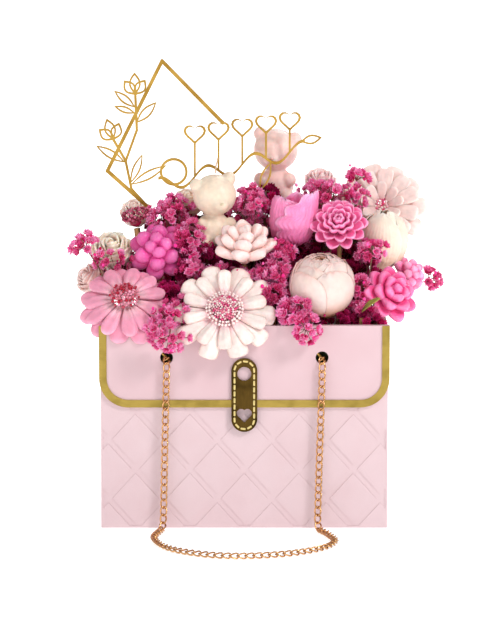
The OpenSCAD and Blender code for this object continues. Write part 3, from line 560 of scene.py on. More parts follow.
# %% Wax and how a petal is made
def wax_material(name, heart, body, lip, roughness=0.42, glow=0.22, mottle=0.1):
    """Cast wax that goes from heart at a petal's root through body to lip at its rim."""
    values = {"Roughness": roughness, "IOR": 1.44, "Specular IOR Level": 0.45,
              "Subsurface Weight": glow, "Subsurface Radius": (1.0, 0.45, 0.35),
              "Subsurface Scale": 3 * MM}  # fmt: skip
    material, tree, shader = new_material(name, values)
    root = ramp(tree, value_of(tree, "along"), 0.05, 0.55)
    colour = mix_colour(tree, root, linear(heart), linear(body))
    colour = mix_colour(tree, ramp(tree, value_of(tree, "edge"), 0.55, 1.0), colour, linear(lip))
    cloud = ramp(tree, noise(tree, 5, 3.0), 0.3, 0.7, 1 - mottle, 1 + mottle * 0.6)
    own = ramp(tree, value_of(tree, "tone"), 0, 1, 0.93, 1.06)
    both = add_node(tree, "ShaderNodeMath", {0: cloud, 1: own}, operation="MULTIPLY").outputs[0]
    shade(tree, shader, colour, both)
    skin = noise(tree, 1.6, 3.0)
    roughen(tree, shader, skin, roughness - 0.06, roughness + 0.08)
    first = bump(tree, shader, noise(tree, 4, 2.0), 0.25, 0.6)
    bump(tree, shader, skin, 0.06, 0.6, after=first)
    return material


def bead_material(name, low, high, roughness=0.3, glow=0.15):
    """Small glossy balls: each its own colour between low and high, by tone."""
    values = {"Roughness": roughness, "IOR": 1.46, "Subsurface Weight": glow,
              "Subsurface Radius": (1.0, 0.4, 0.3), "Subsurface Scale": 1.5 * MM}  # fmt: skip
    material, tree, shader = new_material(name, values)
    own = ramp(tree, value_of(tree, "tone"), 0.1, 0.9)
    colour = mix_colour(tree, own, linear(low), linear(high))
    shade(tree, shader, colour, ramp(tree, noise(tree, 1.5), 0.3, 0.7, 0.9, 1.05))
    bump(tree, shader, noise(tree, 0.8, 2.0), 0.05)
    return material


print("wax ready")

# %% [markdown]
# ## A thick petal
# A cast petal is millimetres thick with a rounded rim. A plane with a solidify modifier
# has a square rim, so the section is a closed ring, swept along the petal.

# %% A thick petal


def there_and_back(s):
    """Shares across a petal's top and back underneath, and the side that each is on."""
    ones = np.ones(len(s) - 2)
    return np.concatenate([s, s[-2:0:-1]]), np.concatenate([[0], ones, [0], -ones])


def petal_grid(points, u, ring, across_power, along_power):
    """Points, faces and values of a petal whose rows are at u, in rings of shares."""
    rim = np.abs(ring)[None, :] ** across_power * np.ones((len(u), 1))
    edge = np.maximum(rim, u[:, None] ** along_power)
    values = {"along": np.repeat(u, len(ring)), "edge": edge.ravel()}
    return points.reshape(-1, 3), tube_faces(len(u), len(ring)), values


def petal(
    length, width, thick, root=0.35, widest=0.62, blunt=2.4, start=0.0, curl=0.0, cup=0.0,
    ridge=0.0, ridges=3, rim=0.0, groove=0.0, dome=0.5, rows=13, across=11, shift=0.0,
):  # fmt: skip
    """A closed thick petal along X, and its values. Angles are degrees, sizes mm.

    root: width there as a share; widest: where it is widest; blunt: how square its tip is;
    start, curl: rise at the root and what it gains to the tip; cup: lifted sides;
    ridge: height of lengthwise ridges; rim: a rolled rim; groove: a fold down the middle.
    """
    u = np.sin(np.linspace(0, math.pi / 2, rows)) ** 0.9
    half = width / 2 * (root + (1 - root) * np.sin(np.clip(u / widest, 0, 1) * math.pi / 2))
    t = np.clip((u - widest) / (1 - widest), 0, 1)
    half = half * np.sqrt(np.clip(1 - t**blunt, 0.004, 1))
    s = np.linspace(-1, 1, across)
    s = np.sin(s * math.pi / 2) * 0.5 + s * 0.5
    ring, side = there_and_back(s)
    section = (1 - np.abs(ring) ** 2.6) ** dome
    tip = np.sqrt(np.clip(1 - np.clip((u - 0.8) / 0.2, 0, 1) ** 2.4, 0.02, 1))
    body = side * section * thick / 2
    lift = body[None, :] * tip[:, None]
    lift = lift + cup * (ring[None, :] ** 2) * half[:, None] / (width / 2)
    fade = np.sin(np.clip(u, 0.05, 0.98) * math.pi) ** 0.5
    if ridge:
        lift = lift + ridge * np.cos(math.pi * ridges * ring + shift)[None, :] * fade[:, None] * (
            section[None, :] ** 0.5
        )
    if rim:
        near = np.exp(-(((1 - np.abs(ring)) / 0.28) ** 2))
        lift = lift + rim * near[None, :] * fade[:, None]
        lift = lift + rim * np.exp(-(((1 - u) / 0.16) ** 2))[:, None]
    if groove:
        deep = np.exp(-((ring / 0.3) ** 2))[None, :] * np.clip(1.15 - u, 0, 1)[:, None]
        lift = lift - groove * deep * (side > 0)[None, :]
    angle = np.radians(start + curl * u)
    step = np.diff(u, prepend=0) * length
    x = np.cumsum(np.cos(angle) * step)
    z = np.cumsum(np.sin(angle) * step)
    points = np.empty((rows, len(ring), 3))
    points[:, :, 0] = x[:, None] - np.sin(angle)[:, None] * lift
    points[:, :, 1] = half[:, None] * ring[None, :]
    points[:, :, 2] = z[:, None] + np.cos(angle)[:, None] * lift
    return petal_grid(points, u, ring, 2, 3)


print("petal ready")

# %% [markdown]
# ## A petal that wraps
# Petals of a rose or a tulip stand round a middle. The same closed grid is bent round
# an axis: each row has a radius and a height, and each side laps its neighbour.

# %% A petal that wraps


def fade_in(u):
    return np.clip(u * 1.4 - 0.2, 0, 1)


def wrapped_petal(
    radii, heights, sweep, thick, blunt=3.0, root=0.6, lip=0.0, wave=0.0, waves=3.0,
    ribs=0.0, rib_count=12, dip=0.0, edge_wave=0.0, tuck=0.8, rows=12, across=15, shift=0.0,
):  # fmt: skip
    """A petal that wraps the axis: radii and heights of its outside from root to lip.

    sweep: degrees that it covers; blunt: how square its top is; lip: rolled out at the
    top; wave, waves: ragged top; ribs: fine upright ribs; dip: a notch at the middle;
    edge_wave: wavy sides; tuck: how far one side lies over its neighbour, the other under.
    """
    u = np.linspace(0, 1, rows) ** 0.85
    known = np.linspace(0, 1, len(radii))
    r = np.interp(u, known, radii)
    z = np.interp(u, known, heights)
    r = np.convolve(np.pad(r, 1, "edge"), [0.25, 0.5, 0.25], "valid")
    z[1:-1] = np.convolve(z, [0.25, 0.5, 0.25], "valid")
    half = root + (1 - root) * np.sin(np.clip(u / 0.5, 0, 1) * math.pi / 2)
    half = half * np.sqrt(np.clip(1 - np.clip((u - 0.45) / 0.55, 0, 1) ** blunt, 0.05, 1))
    ring, side = there_and_back(np.linspace(-1, 1, across))
    section = (1 - np.abs(ring) ** 4) ** 0.5
    tip = np.sqrt(np.clip(1 - np.clip((u - 0.86) / 0.14, 0, 1) ** 2, 0.05, 1))
    out = side * section * thick / 2
    high = np.clip((u - 0.6) / 0.4, 0, 1)
    half = half * (1 + 0.05 * edge_wave * np.sin(u * 30 + shift) * np.clip(u * 2, 0, 1))
    turn = np.radians(sweep / 2) * half[:, None] * ring[None, :]
    away = r[:, None] + out[None, :] * tip[:, None] + lip * (high**2)[:, None]
    away = away + 0.4 * thick * (np.abs(ring) ** 6)[None, :] * fade_in(u)[:, None] * (lip > 0)
    away = away + edge_wave * (ring**4)[None, :] * np.sin(u * 34 + shift)[:, None]
    away = away + tuck * thick * 0.5 * (ring * np.abs(ring))[None, :] * fade_in(u * 2)[:, None]
    away = away + wave * 0.6 * np.sin(waves * turn * 2 + shift) * high[:, None]
    if ribs:
        away = away + ribs * np.cos(rib_count * math.pi * ring + shift)[None, :] * np.sin(
            np.clip(u, 0.02, 0.97) * math.pi
        )[:, None] ** 0.4 * (np.abs(side) > 0)[None, :]
    tall = z[:, None] + wave * np.sin(waves * 3 * ring[None, :] + shift) * (high**2)[:, None]
    tall = tall - dip * np.exp(-((ring / 0.3) ** 2))[None, :] * (high**2)[:, None]
    points = np.stack([away * np.cos(turn), away * np.sin(turn), tall], 2)
    return petal_grid(points, u, ring, 4, 4)


print("wrapped petal ready")

# %% [markdown]
# ## Balls, knobs and rings
# Under each flower is a wax knob that its pick goes into, and its eye is small balls.
# Spheres from Blender would do; this grid has fewer faces and the same caps as a petal.

# %% Balls, knobs and rings


def ball(radius, squash=1.0, rings=8, sides=12):
    """Points and faces of a ball, as a closed grid with two small caps."""
    polar = np.linspace(0.12, math.pi - 0.12, rings)
    turn = np.linspace(0, 2 * math.pi, sides, endpoint=False)
    x, y = np.outer(np.sin(polar), np.cos(turn)), np.outer(np.sin(polar), np.sin(turn))
    z = np.outer(np.cos(polar), np.ones(sides)) * squash
    return np.stack([x, y, z], 2).reshape(-1, 3) * radius, tube_faces(rings, sides)


def begin(at, lean, heading, knob=5.0):
    """Place of a flower and its heap, with the wax knob that its pick goes into."""
    place, heap = stand(at, lean, heading), Heap()
    points, faces = ball(knob, 0.8)
    heap.add(points, faces, place, along=0.2, edge=0.0, tone=0.5)
    return place, heap


def ring_of(heap, place, count, turn, foot, height, tilt, rnd, **shape):
    """One ring of petals, no two quite alike."""
    for i in range(count):
        wobble = [rnd.uniform(-1, 1) for _ in range(4)]
        sized = dict(shape)
        sized["length"] = shape["length"] * (1 + 0.04 * wobble[0])
        sized["width"] = shape["width"] * (1 + 0.04 * wobble[1])
        sized["shift"] = rnd.uniform(0, 6)
        points, faces, values = petal(**sized)
        at = petal_place(count, i, turn + 3 * wobble[2], foot, height, tilt + 3 * wobble[3])
        heap.add(points, faces, place @ at, tone=rnd.random(), **values)


def wrap(heap, place, turn, rnd, radii, heights, sweep, thick, jitter=0, deep=0.0, **shape):
    """Add a wrapped petal near turn; a deep one keeps more of the heart's colour."""
    if "shift" not in shape:
        shape["shift"] = rnd.uniform(0, 6)
    points, faces, values = wrapped_petal(radii, heights, sweep, thick, **shape)
    if jitter:
        turn += rnd.uniform(-jitter, jitter)
    values["along"] *= 1 - deep
    values["edge"] *= 1 - 0.5 * deep
    heap.add(points, faces, place @ turn_z(turn), tone=rnd.random(), **values)


GOLDEN = math.radians(137.5)


def bead(heap, place, at, sizes, rnd, low=0.0, high=1.0, scale=1.0, **values):
    """A small ball, its radius drawn from sizes and its tone from low..high."""
    points, faces = ball(scale * rnd.uniform(*sizes), 1, 6, 8)
    tone = low if low == high else low + (high - low) * rnd.random()
    heap.add(points, faces, place @ move(*at), tone=tone, **values)


def eye_balls(heap, place, radius, base, rise, size, rnd, high):
    """Balls packed over a low dome by the golden angle."""
    count = int((radius / size) ** 2 * 0.92)
    for k in range(count):
        share = (k + 0.5) / count
        r, turn = radius * math.sqrt(share), k * GOLDEN
        at = (r * math.cos(turn), r * math.sin(turn), base + rise * (1 - share))
        bead(heap, place, at, (0.75, 1.12), rnd, high=high, scale=size)


print("petals ready")

# %% [markdown]
# ## The pink gerbera
# Twenty-two thick petals in two rings. Each droops towards its tip and has a fold down
# its middle. Balls of wax fill the eye.

# %% The pink gerbera
rnd = random.Random(4)
place, heap = begin([-83, -36, 14], 46, -90)
ring_of(heap, place, 11, 0, 8, 3.6, 5, rnd, length=25.5, width=14, thick=3.4, root=0.34,
        widest=0.74, blunt=2.0, curl=-42, cup=-2.6, rim=0.5, groove=1.9, rows=15)  # fmt: skip
ring_of(heap, place, 11, 16, 8, 6.4, 10, rnd, length=22.5, width=11.5, thick=3.2, root=0.36,
        widest=0.72, blunt=2.0, curl=-40, cup=-2.2, rim=0.5, groove=2.1, rows=15)  # fmt: skip
gerbera_wax = wax_material("gerbera_wax", "#f7c2cc", "#ee9db7", "#f7b5ca", 0.4, 0.22)
heap.piece("gerbera_petals", [gerbera_wax], slot="pink_wax", replaces=("pink_gerbera",))

heap = Heap()
eye_balls(heap, place, 10.5, 11.2, 3.0, 1.15, rnd, 0.8)
bead_crimson = bead_material("crimson_beads", "#b00d33", "#f2a3bb", 0.28)
heap.piece("gerbera_eye", [bead_crimson], slot="crimson_wax", replaces=("gerbera_beads",))
print("gerbera:", heap.count, "points in its eye")

# %% [markdown]
# ## The blush daisy over the flap
# Thick square petals with ridges; a spongy disc ringed with pearls at the middle.

# %% The blush daisy over the flap
rnd = random.Random(8)
place, heap = begin([-14, -46, 9], 58, -88)
ring_of(heap, place, 10, 0, 8, 3.6, 4, rnd, length=28.5, width=14.5, thick=3.8, root=0.3,
        widest=0.8, blunt=3.6, curl=-10, ridge=0.7, ridges=2, cup=-1.8, dome=0.42,
        rows=15)  # fmt: skip
ring_of(heap, place, 10, 18, 8, 6.8, 8, rnd, length=22, width=10, thick=3.2, root=0.32,
        widest=0.8, blunt=3.4, curl=-10, ridge=0.6, ridges=2, cup=-1.4, dome=0.42,
        rows=15)  # fmt: skip
daisy_wax = wax_material("blush_daisy_wax", "#f1bcc5", "#f6e6df", "#f3d9d1", 0.42, 0.24)
heap.piece("daisy_petals", [daisy_wax], slot="blush_wax", replaces=("blush_daisy",))

heap = Heap()
eye_balls(heap, place, 9.4, 11.0, 2.6, 0.85, rnd, 1.0)
# Two rings of pearls round it
PEARLS = 30
for k in range(2 * PEARLS):
    turn, lap = 2 * math.pi * k / PEARLS + rnd.uniform(-0.05, 0.05), k // PEARLS
    out = 10.6 + 1.9 * lap
    at = (out * math.cos(turn), out * math.sin(turn), 10.6 - lap)
    bead(heap, place, at, (0.8, 1.2), rnd, low=1.0, high=1.0)
bead_pink = bead_material("stamen_beads", "#e0457f", "#fbe3e0", 0.36)
heap.piece("daisy_eye", [bead_pink], slot="rose_beads", replaces=("daisy_beads",))
print("daisy:", heap.count, "points in its eye")

# %% [markdown]
# ## Flowers of plump petals
# Egg-petalled bloom, lotus, dahlia, succulent and ball bloom: the same rings of petals,
# thick and short or thin and many.


# %% Flowers of plump petals
def bloom(name, node, slot, wax, at, lean, heading, rings, rnd, **shape):
    """A flower of rings: count, turn, foot, height, tilt, length, width, thickness, curl."""
    place, heap = begin(at, lean, heading)
    for count, turn, foot, height, tilt, length, width, thick, curl in rings:
        ring_of(heap, place, count, turn, foot, height, tilt, rnd, length=length, width=width,
                thick=thick, curl=curl, **shape)  # fmt: skip
    heap.piece(name, [wax], slot=slot, replaces=(node,))


rnd = random.Random(15)
egg_wax = wax_material("magenta_wax", "#d23688", "#e35aa4", "#ea74b4", 0.3, 0.2, 0.05)
bloom("egg_petals", "egg_petal_bloom", "hot_pink_wax", egg_wax, [-60, 2, 44], 62, -92, (
    (7, 0, 3.5, 3, 4, 18, 13, 9.5, 10),
    (6, 26, 3, 7, 34, 16, 12, 9, 10),
    (4, 8, 1.5, 10, 62, 13, 10, 8, 10),
), rnd, root=0.45, widest=0.6, blunt=2.0)  # fmt: skip
lotus_wax = wax_material("lotus_wax", "#efb8ae", "#f7d6cf", "#f7ddd9", 0.4, 0.26)
bloom("lotus_petals", "cream_lotus", "cream_wax", lotus_wax, [0, -19, 44], 18, -90, (
    (7, 2, 4, 3.5, 12, 20.5, 13.5, 7.0, 30),
    (6, 28, 4, 6, 34, 19.5, 13, 7.0, 26),
    (4, 10, 3, 9, 58, 18, 12, 6.4, 14),
    (2, 40, 1, 11, 80, 14, 9.5, 5.6, 6),
), rnd, root=0.4, widest=0.58, blunt=1.6, cup=1.8, dome=0.6)  # fmt: skip
dahlia_wax = wax_material("dahlia_wax", "#d8448a", "#f474ae", "#faa4cc", 0.36, 0.2)
bloom("dahlia_petals", "pink_dahlia", "hot_pink_wax", dahlia_wax, [67, -6, 62], 50, -94, (
    (10, 0, 5, 3, 2, 16, 10, 3.0, 24),
    (10, 18, 5, 5, 18, 14.6, 9, 2.8, 24),
    (9, 4, 4, 6.8, 34, 12.4, 8, 2.6, 24),
    (8, 22, 3.4, 8.2, 50, 10, 7.0, 2.4, 24),
    (6, 0, 2, 9.4, 66, 8, 5.8, 2.1, 24),
    (4, 20, 0.8, 10, 80, 6.5, 4.4, 1.9, 24),
), rnd, root=0.5, widest=0.62, blunt=2.4, cup=2.2, rim=0.5)  # fmt: skip
succulent_wax = wax_material("succulent_wax", "#d62f7c", "#f05c9c", "#f688ba", 0.34, 0.22)
bloom("succulent_petals", "magenta_succulent", "hot_pink_wax", succulent_wax,
      [98, -17, 15], 60, -56, (
    (7, 0, 3.5, 3, 6, 18.5, 14, 6.0, 22),
    (6, 26, 3, 6, 30, 16.5, 13, 6.0, 22),
    (5, 6, 2, 8.6, 52, 13.5, 11, 5.6, 22),
    (3, 30, 0.8, 10.5, 76, 11, 9, 5.0, 22),
), rnd, root=0.45, widest=0.5, blunt=1.6, cup=1.6)  # fmt: skip
ball_wax = wax_material("rose_pink_wax", "#e9639f", "#f58bb9", "#fba9cd", 0.36, 0.24)
bloom("ball_petals", "ball_petal_bloom", "pink_wax", ball_wax, [113, 10, 27], 70, -40, (
    (8, 0, 2, 2, 4, 11.5, 7.0, 6.0, 12),
    (7, 24, 1.6, 5, 34, 10.5, 6.6, 6.0, 12),
    (4, 6, 0.8, 7, 64, 8.5, 6.0, 5.6, 12),
), rnd, root=0.5, widest=0.62, blunt=2.0)  # fmt: skip
print("plump flowers made")

# %% [markdown]
# ## Ribbed bloom and back daisy
# Three finely ribbed petals wrap a hollow middle, so their grids are dense. The back
# daisy is three rings of square petals round a dome of pearls.

# %% Ribbed bloom and back daisy
rnd = random.Random(23)
place, heap = begin([31, 6, 48], 14, -70)
for turn, sweep, outer, high, blunt, lip, edge_wave in (
    (60, 150, 12.0, 38, 2.0, 1.0, 0.8),
    (-128, 190, 14.5, 41, 3.2, 1.0, 0.9),
    (-28, 200, 17.5, 46, 1.5, 2.5, 1.9),
):
    wrap(
        heap, place, turn, rnd, [4, outer * 0.8, outer, outer * 0.96, outer * 0.8],
        [1, high * 0.2, high * 0.48, high * 0.76, high], sweep, 2.0, blunt=blunt, root=0.55,
        lip=lip, edge_wave=edge_wave, ribs=0.26, rib_count=17, wave=0.8, waves=5,
        rows=30, across=77,
    )  # fmt: skip
ribbed_wax = wax_material("ribbed_pink_wax", "#e04a96", "#ff93c6", "#ffb2d8", 0.44, 0.2)
heap.piece("ribbed_petals", [ribbed_wax], slot="hot_pink_wax", replaces=("ribbed_bloom",))

place, heap = begin([99, 54, 69], 64, -94)
ring_of(heap, place, 11, 0, 7, 3.4, 6, rnd, length=26, width=14, thick=4.0, root=0.42,
        widest=0.78, blunt=3.6, curl=-8, ridge=0.5, ridges=3, cup=0.8, dome=0.42)  # fmt: skip
ring_of(heap, place, 11, 16, 6, 6.4, 14, rnd, length=22, width=11.5, thick=3.4, root=0.42,
        widest=0.78, blunt=3.4, curl=-8, ridge=0.4, ridges=3, cup=0.8, dome=0.42)  # fmt: skip
ring_of(heap, place, 9, 5, 5, 8, 34, rnd, length=13, width=7, thick=2.8, root=0.55,
        widest=0.7, blunt=3.0, curl=-6, cup=0.8)  # fmt: skip
pale_daisy_wax = wax_material("pale_daisy_wax", "#f0c4c0", "#f7ddd7", "#f8e6e0", 0.42, 0.3)
for k in range(60):
    turn, out = k * GOLDEN, 1.15 * math.sqrt(k)
    at = (out * math.cos(turn), out * math.sin(turn), 9.4 - 0.02 * k)
    bead(heap, place, at, (0.9, 1.3), rnd, slot=1, along=1.0, edge=0.0)
heap.piece("back_daisy_petals", [pale_daisy_wax, bead_pink], slot="blush_wax",
           replaces=("back_daisy",))  # fmt: skip
print("ribbed bloom and back daisy made")

# %% [markdown]
# ## Roses, tulip and peony: petals that wrap an axis
# A rose is rings of short wrapping petals, tighter towards the middle, whose lips roll
# outwards. The tulip has fine upright ribs. The peony's petals close over a ball.


# %% Roses, tulip and peony: petals that wrap an axis
def rose(node, at, tilt, heading, diameter, colours, slot, rnd):
    """A rose of five rings and a wound heart, in place of the CAD node."""
    place, heap = begin(at, tilt, heading, knob=4.6)
    r = diameter / 2
    high = diameter * 0.8
    for count, turn, outer, top, lip, sweep in (
        (5, 0, 0.94, 0.62, 0.2, 100),
        (4, 36, 0.78, 0.80, 0.14, 122),
        (4, 10, 0.58, 0.92, 0.08, 128),
        (3, 50, 0.38, 0.98, 0.04, 150),
        (2, 110, 0.2, 1.0, 0.02, 210),
    ):
        for i in range(count):
            wobble = rnd.uniform(-0.03, 0.03)
            out = r * (outer + wobble)
            wrap(
                heap, place, turn + i * 360 / count, rnd,
                [out * 0.4, out * 0.86, out, out * 0.98, out * 0.9],
                [1, high * top * 0.22, high * top * 0.5, high * top * 0.8, high * (top + wobble)],
                sweep, max(1.5, r * 0.14), jitter=6, blunt=2.6, root=0.55, lip=r * lip,
                rows=14, across=17,
            )  # fmt: skip
    points, faces = ball(r * 0.16, 1.6)
    heap.add(points, faces, place @ move(0, 0, high * 0.8), along=0.1, edge=0.0, tone=0.4)
    wax = wax_material(node + "_wax", *colours, 0.42, 0.3)
    heap.piece(node + "_petals", [wax], slot=slot, replaces=(node,))


print("rose ready")

# %% [markdown]
# ## Eight roses
# Five roses stand in front and three in the rear row. One function makes them all,
# since they differ only in place, size and wax.

# %% Eight roses
rnd = random.Random(31)
CREAM = ("#e6c9a8", "#f3e4d0", "#f7ecdd")
BLUSH = ("#ecb6ad", "#f5d9d1", "#f8e4dd")
DUSTY = ("#dfa59f", "#efc9c2", "#f5dcd6")
PEACH = ("#efc3ad", "#f7dcca", "#fae9dd")
SHELL = ("#f2b3b8", "#f9d2d3", "#fbe0de")
ROSE_PINK = ("#e9639f", "#f58bb9", "#fba9cd")
for node, at, tilt, heading, diameter, colours, slot in (
    ("cream_rose", [-92, 12, 38], 40, -100, 28, CREAM, "cream_wax"),
    ("pale_rose", [-76, 40, 62], 30, -110, 21, BLUSH, "blush_wax"),
    ("dusty_rose", [-103, 6, 22], 56, -150, 21, DUSTY, "beige_wax"),
    ("peach_rose", [-40, 37, 70], 30, -90, 21, PEACH, "beige_wax"),
    ("blush_rose", [54, 38, 84], 25, -80, 21, SHELL, "blush_wax"),
    ("rear_rose_left", [-48, 44, 22], 48, 96, 32, BLUSH, "blush_wax"),
    ("rear_rose_middle", [-4, 46, 26], 44, 88, 32, CREAM, "cream_wax"),
    ("rear_rose_right", [42, 46, 22], 48, 84, 32, ROSE_PINK, "pink_wax"),
):
    rose(node, at, tilt, heading, diameter, colours, slot, rnd)


print("roses made")

# %% [markdown]
# ## The pale tulip
# A closed tulip has six petals, every second one inside. Fine upright ribs are part of
# the grid, because a bump would be lost at the lit edge.

# %% The pale tulip
place, heap = begin([97, 12, 33], 8, -60)
for i in range(6):
    inner = i % 2
    shrink = 1.9 * inner
    wrap(
        heap, place, 60 * i + 10, rnd,
        [5 - shrink, 13.4 - shrink, 16.8 - shrink, 16.6 - shrink, 12.5 - shrink, 4 - 0.6 * shrink],
        [0, 6, 16, 26, 35.5, 41 + inner],
        136, 1.6, blunt=2.6, root=0.6, wave=0.3, waves=2, ribs=0.17, rib_count=15,
        rows=20, across=53, shift=i * 1.7,
    )  # fmt: skip
tulip_wax = wax_material("tulip_wax", "#efceae", "#f8e2d0", "#f9e7da", 0.44, 0.3, 0.05)
heap.piece("tulip_petals", [tulip_wax], slot="cream_wax", replaces=("cream_tulip",))
print("tulip made")

# %% [markdown]
# ## The peony
# A peony closes over a ball. Petals lie in shells of shrinking radius, and the deeper
# ones keep more of the heart's colour.

# %% The peony
place, heap = begin([55, -24, 4], 16, -96)
# Radius of its outer shell
PEONY_R = 23.2
for count, turn, shell, low, high, sweep, deep in (
    (5, 10, 0.99, 155, 44, 96, 0.0),
    (4, 52, 0.93, 150, 30, 112, 0.0),
    (4, 25, 0.87, 140, 22, 110, 0.05),
    (4, 70, 0.79, 120, 18, 100, 0.15),
    (3, 15, 0.66, 100, 16, 124, 0.3),
    (3, 70, 0.50, 90, 16, 130, 0.5),
    (3, 0, 0.34, 80, 18, 140, 0.7),
    (2, 30, 0.18, 80, 20, 200, 0.85),
):
    for i in range(count):
        polar = np.radians(np.linspace(low, high + rnd.uniform(-4, 5), 8))
        rr = PEONY_R * shell
        lifted = (1 - shell) * PEONY_R * 0.86
        wrap(
            heap, place, turn + i * 360 / count, rnd,
            (rr * np.sin(polar)).tolist(), (23.5 + rr * np.cos(polar) + lifted).tolist(),
            sweep, 1.1, jitter=5, deep=deep, blunt=4, root=0.7, lip=0.5, wave=0.25, waves=4,
            dip=0.7, rows=18, across=25,
        )  # fmt: skip
peony_wax = wax_material("peony_wax", "#e09a78", "#f4d8cf", "#f1c6bf", 0.4, 0.28, 0.05)
heap.piece("peony_petals", [peony_wax], slot="peach_wax", replaces=("peony",))
print("wrapped flowers made")

# %% [markdown]
# ## Bears
# Balls of wax, melted into one skin: the balls are joined, remeshed and smoothed.


# %% Bears
# Cell of the remesh, in mm
VOXEL = 0.9


def blend_balls(name, balls, place):
    """Balls ((x, y, z), radius, squash) as one smooth skin: points and faces in mm."""
    heap = Heap()
    for centre, radius, squash in balls:
        points, faces = ball(radius, squash, 16, 24)
        heap.add(points, faces, place @ move(*centre))
    mesh = bpy.data.meshes.new(name)
    mesh.from_pydata((np.vstack(heap.points) * MM).tolist(), [], heap.faces)
    face_outward(mesh)
    obj = bpy.data.objects.new(name, mesh)
    scene.collection.objects.link(obj)
    remesh = obj.modifiers.new("remesh", "REMESH")
    remesh.mode = "VOXEL"
    remesh.voxel_size = VOXEL * MM
    relax = obj.modifiers.new("smooth", "SMOOTH")
    relax.factor = 0.5
    relax.iterations = 6
    done = bpy.data.meshes.new_from_object(obj.evaluated_get(bpy.context.evaluated_depsgraph_get()))
    points = np.empty(len(done.vertices) * 3)
    done.vertices.foreach_get("co", points)
    faces = [list(p.vertices) for p in done.polygons]
    bpy.data.objects.remove(obj)
    return points.reshape(-1, 3) / MM, faces


print("skin ready")

# %% [markdown]
# ## Two bears
# A moulded bear has no seams. Balls are placed as a toy maker would model them, and the
# skin is taken round them all.

# %% Two bears


def bear(name, at, turns, head, roll, colours, slot, glow):
    """A sitting bear moulded in one piece, its face no more than a muzzle and a nose."""
    x, y, z = at
    place = move(x, y, z + BOX_H) @ turn_z(turns[2]) @ turn_y(turns[1]) @ turn_x(turns[0])
    r = head / 2
    body = [((0, 0, r * 0.76), r * 0.8, 1.0)]
    for way in (-1, 1):
        body.append(((way * r * 0.66, -r * 0.42, r * 1.06), r * 0.3, 1.1))
        body.append(((way * r * 0.56, -r * 0.56, r * 0.3), r * 0.36, 1.0))
    head_place = move(0, 0, r * 2.35) @ turn_y(roll)
    # The head: skull, muzzle and two ears
    head_balls = [((0, 0, 0), r, 0.94), ((0, -r * 0.8, -r * 0.28), r * 0.38, 0.85)]
    for way in (-1, 1):
        head_balls.append(((way * r * 0.78, 0, r * 0.62), r * 0.32, 1.0))
    for centre, radius, squash in head_balls:
        moved = head_place @ Vector(centre)
        body.append((tuple(moved), radius, squash))
    points, faces = blend_balls(name, body, place)
    heap = Heap()
    heap.add(points, faces, along=0.6, edge=0.3, tone=0.6)
    p, f = ball(r * 0.1, 0.7, 6, 8)
    nose = place @ head_place @ move(0, -r * 1.17, -r * 0.18)
    heap.add(p, f, nose, along=0.3, edge=0.0, tone=0.3)
    wax = wax_material(name + "_wax", *colours, 0.4, glow)
    heap.piece(name + "_body", [wax], slot=slot, replaces=(name,))


bear("cream_bear", [-22, 5.5, 50], (6, 0, 16), 31, -10, ("#dcc09c", "#ead7c2", "#eee0d0"),
     "cream_wax", 0.35)  # fmt: skip
bear("pink_bear", [23, 46, 76], (4, 0, -8), 32, 8, ("#eeb0a8", "#f8d4ce", "#f9dcd6"),
     "blush_wax", 0.5)  # fmt: skip


print("bears made")

# %% [markdown]
# ## The cream bear's wick
# The wick is a waxed cotton braid. Its slanting lines are too fine to model, so a bump
# draws them.

# %% The cream bear's wick
# Braided cotton, waxed
wick, tree, shader = new_material(
    "cotton_wick", {"Roughness": 0.9, "Base Color": linear("#c9a682"), "Sheen Weight": 0.4}
)
twisted(tree, shader, 500.0, 1.5, 0.15)
dress("cream_bear_wick", wick)
print("bears made")

# %% [markdown]
# ## Gypsophila: dyed petals
# Gypsophila is the filler: ragged double florets, about 8 mm across, on hair-thin
# forked stems. A floret is four layers of small notched petals.

# %% Gypsophila: dyed petals
# Dyed petals: thin, matt and ragged, paler at their tips
dyed, tree, shader = new_material(
    "dyed_gypsophila",
    {"Roughness": 0.7, "IOR": 1.4, "Subsurface Weight": 0.3, "Subsurface Radius": (1.0, 0.3, 0.5),
     "Subsurface Scale": 1.2 * MM, "Specular IOR Level": 0.2},
)  # fmt: skip
tone = value_of(tree, "tone")
bright = ramp(tree, tone, 0.2, 1.0)
floret_body = mix_colour(tree, bright, linear("#c00848"), linear("#ff40a0"))
# Low tones turn near-black crimson: painted shade for florets in the dark between stems
floret_body = mix_colour(tree, ramp(tree, tone, 0.0, 0.3), linear("#4c0420"), floret_body)
floret_tip = mix_colour(tree, bright, linear("#e82f88"), linear("#ffb0dc"))
floret_tip = mix_colour(tree, ramp(tree, tone, 0.0, 0.3), linear("#8c0c3c"), floret_tip)
tips = ramp(tree, value_of(tree, "along"), 0.35, 1.0)
floret_colour = mix_colour(tree, tips, floret_body, floret_tip)
shade(tree, shader, floret_colour, ramp(tree, noise(tree, 1.2), 0.3, 0.7, 0.9, 1.15))
bump(tree, shader, noise(tree, 0.5, 2.0), 0.1)
stalk, tree, shader = new_material("gypsophila_stalk", {"Roughness": 0.6})
paint(tree, shader, ramp(tree, noise(tree, 5), 0.3, 0.7), "#6d5a3a", "#8f4a4a")
bump(tree, shader, noise(tree, 0.5), 0.05)
print("dyed petals ready")

# %% [markdown]
# ## A floret
# One floret is four layers of small notched petals. Twelve different ones are made once
# and used again, turned and scaled.

# %% A floret


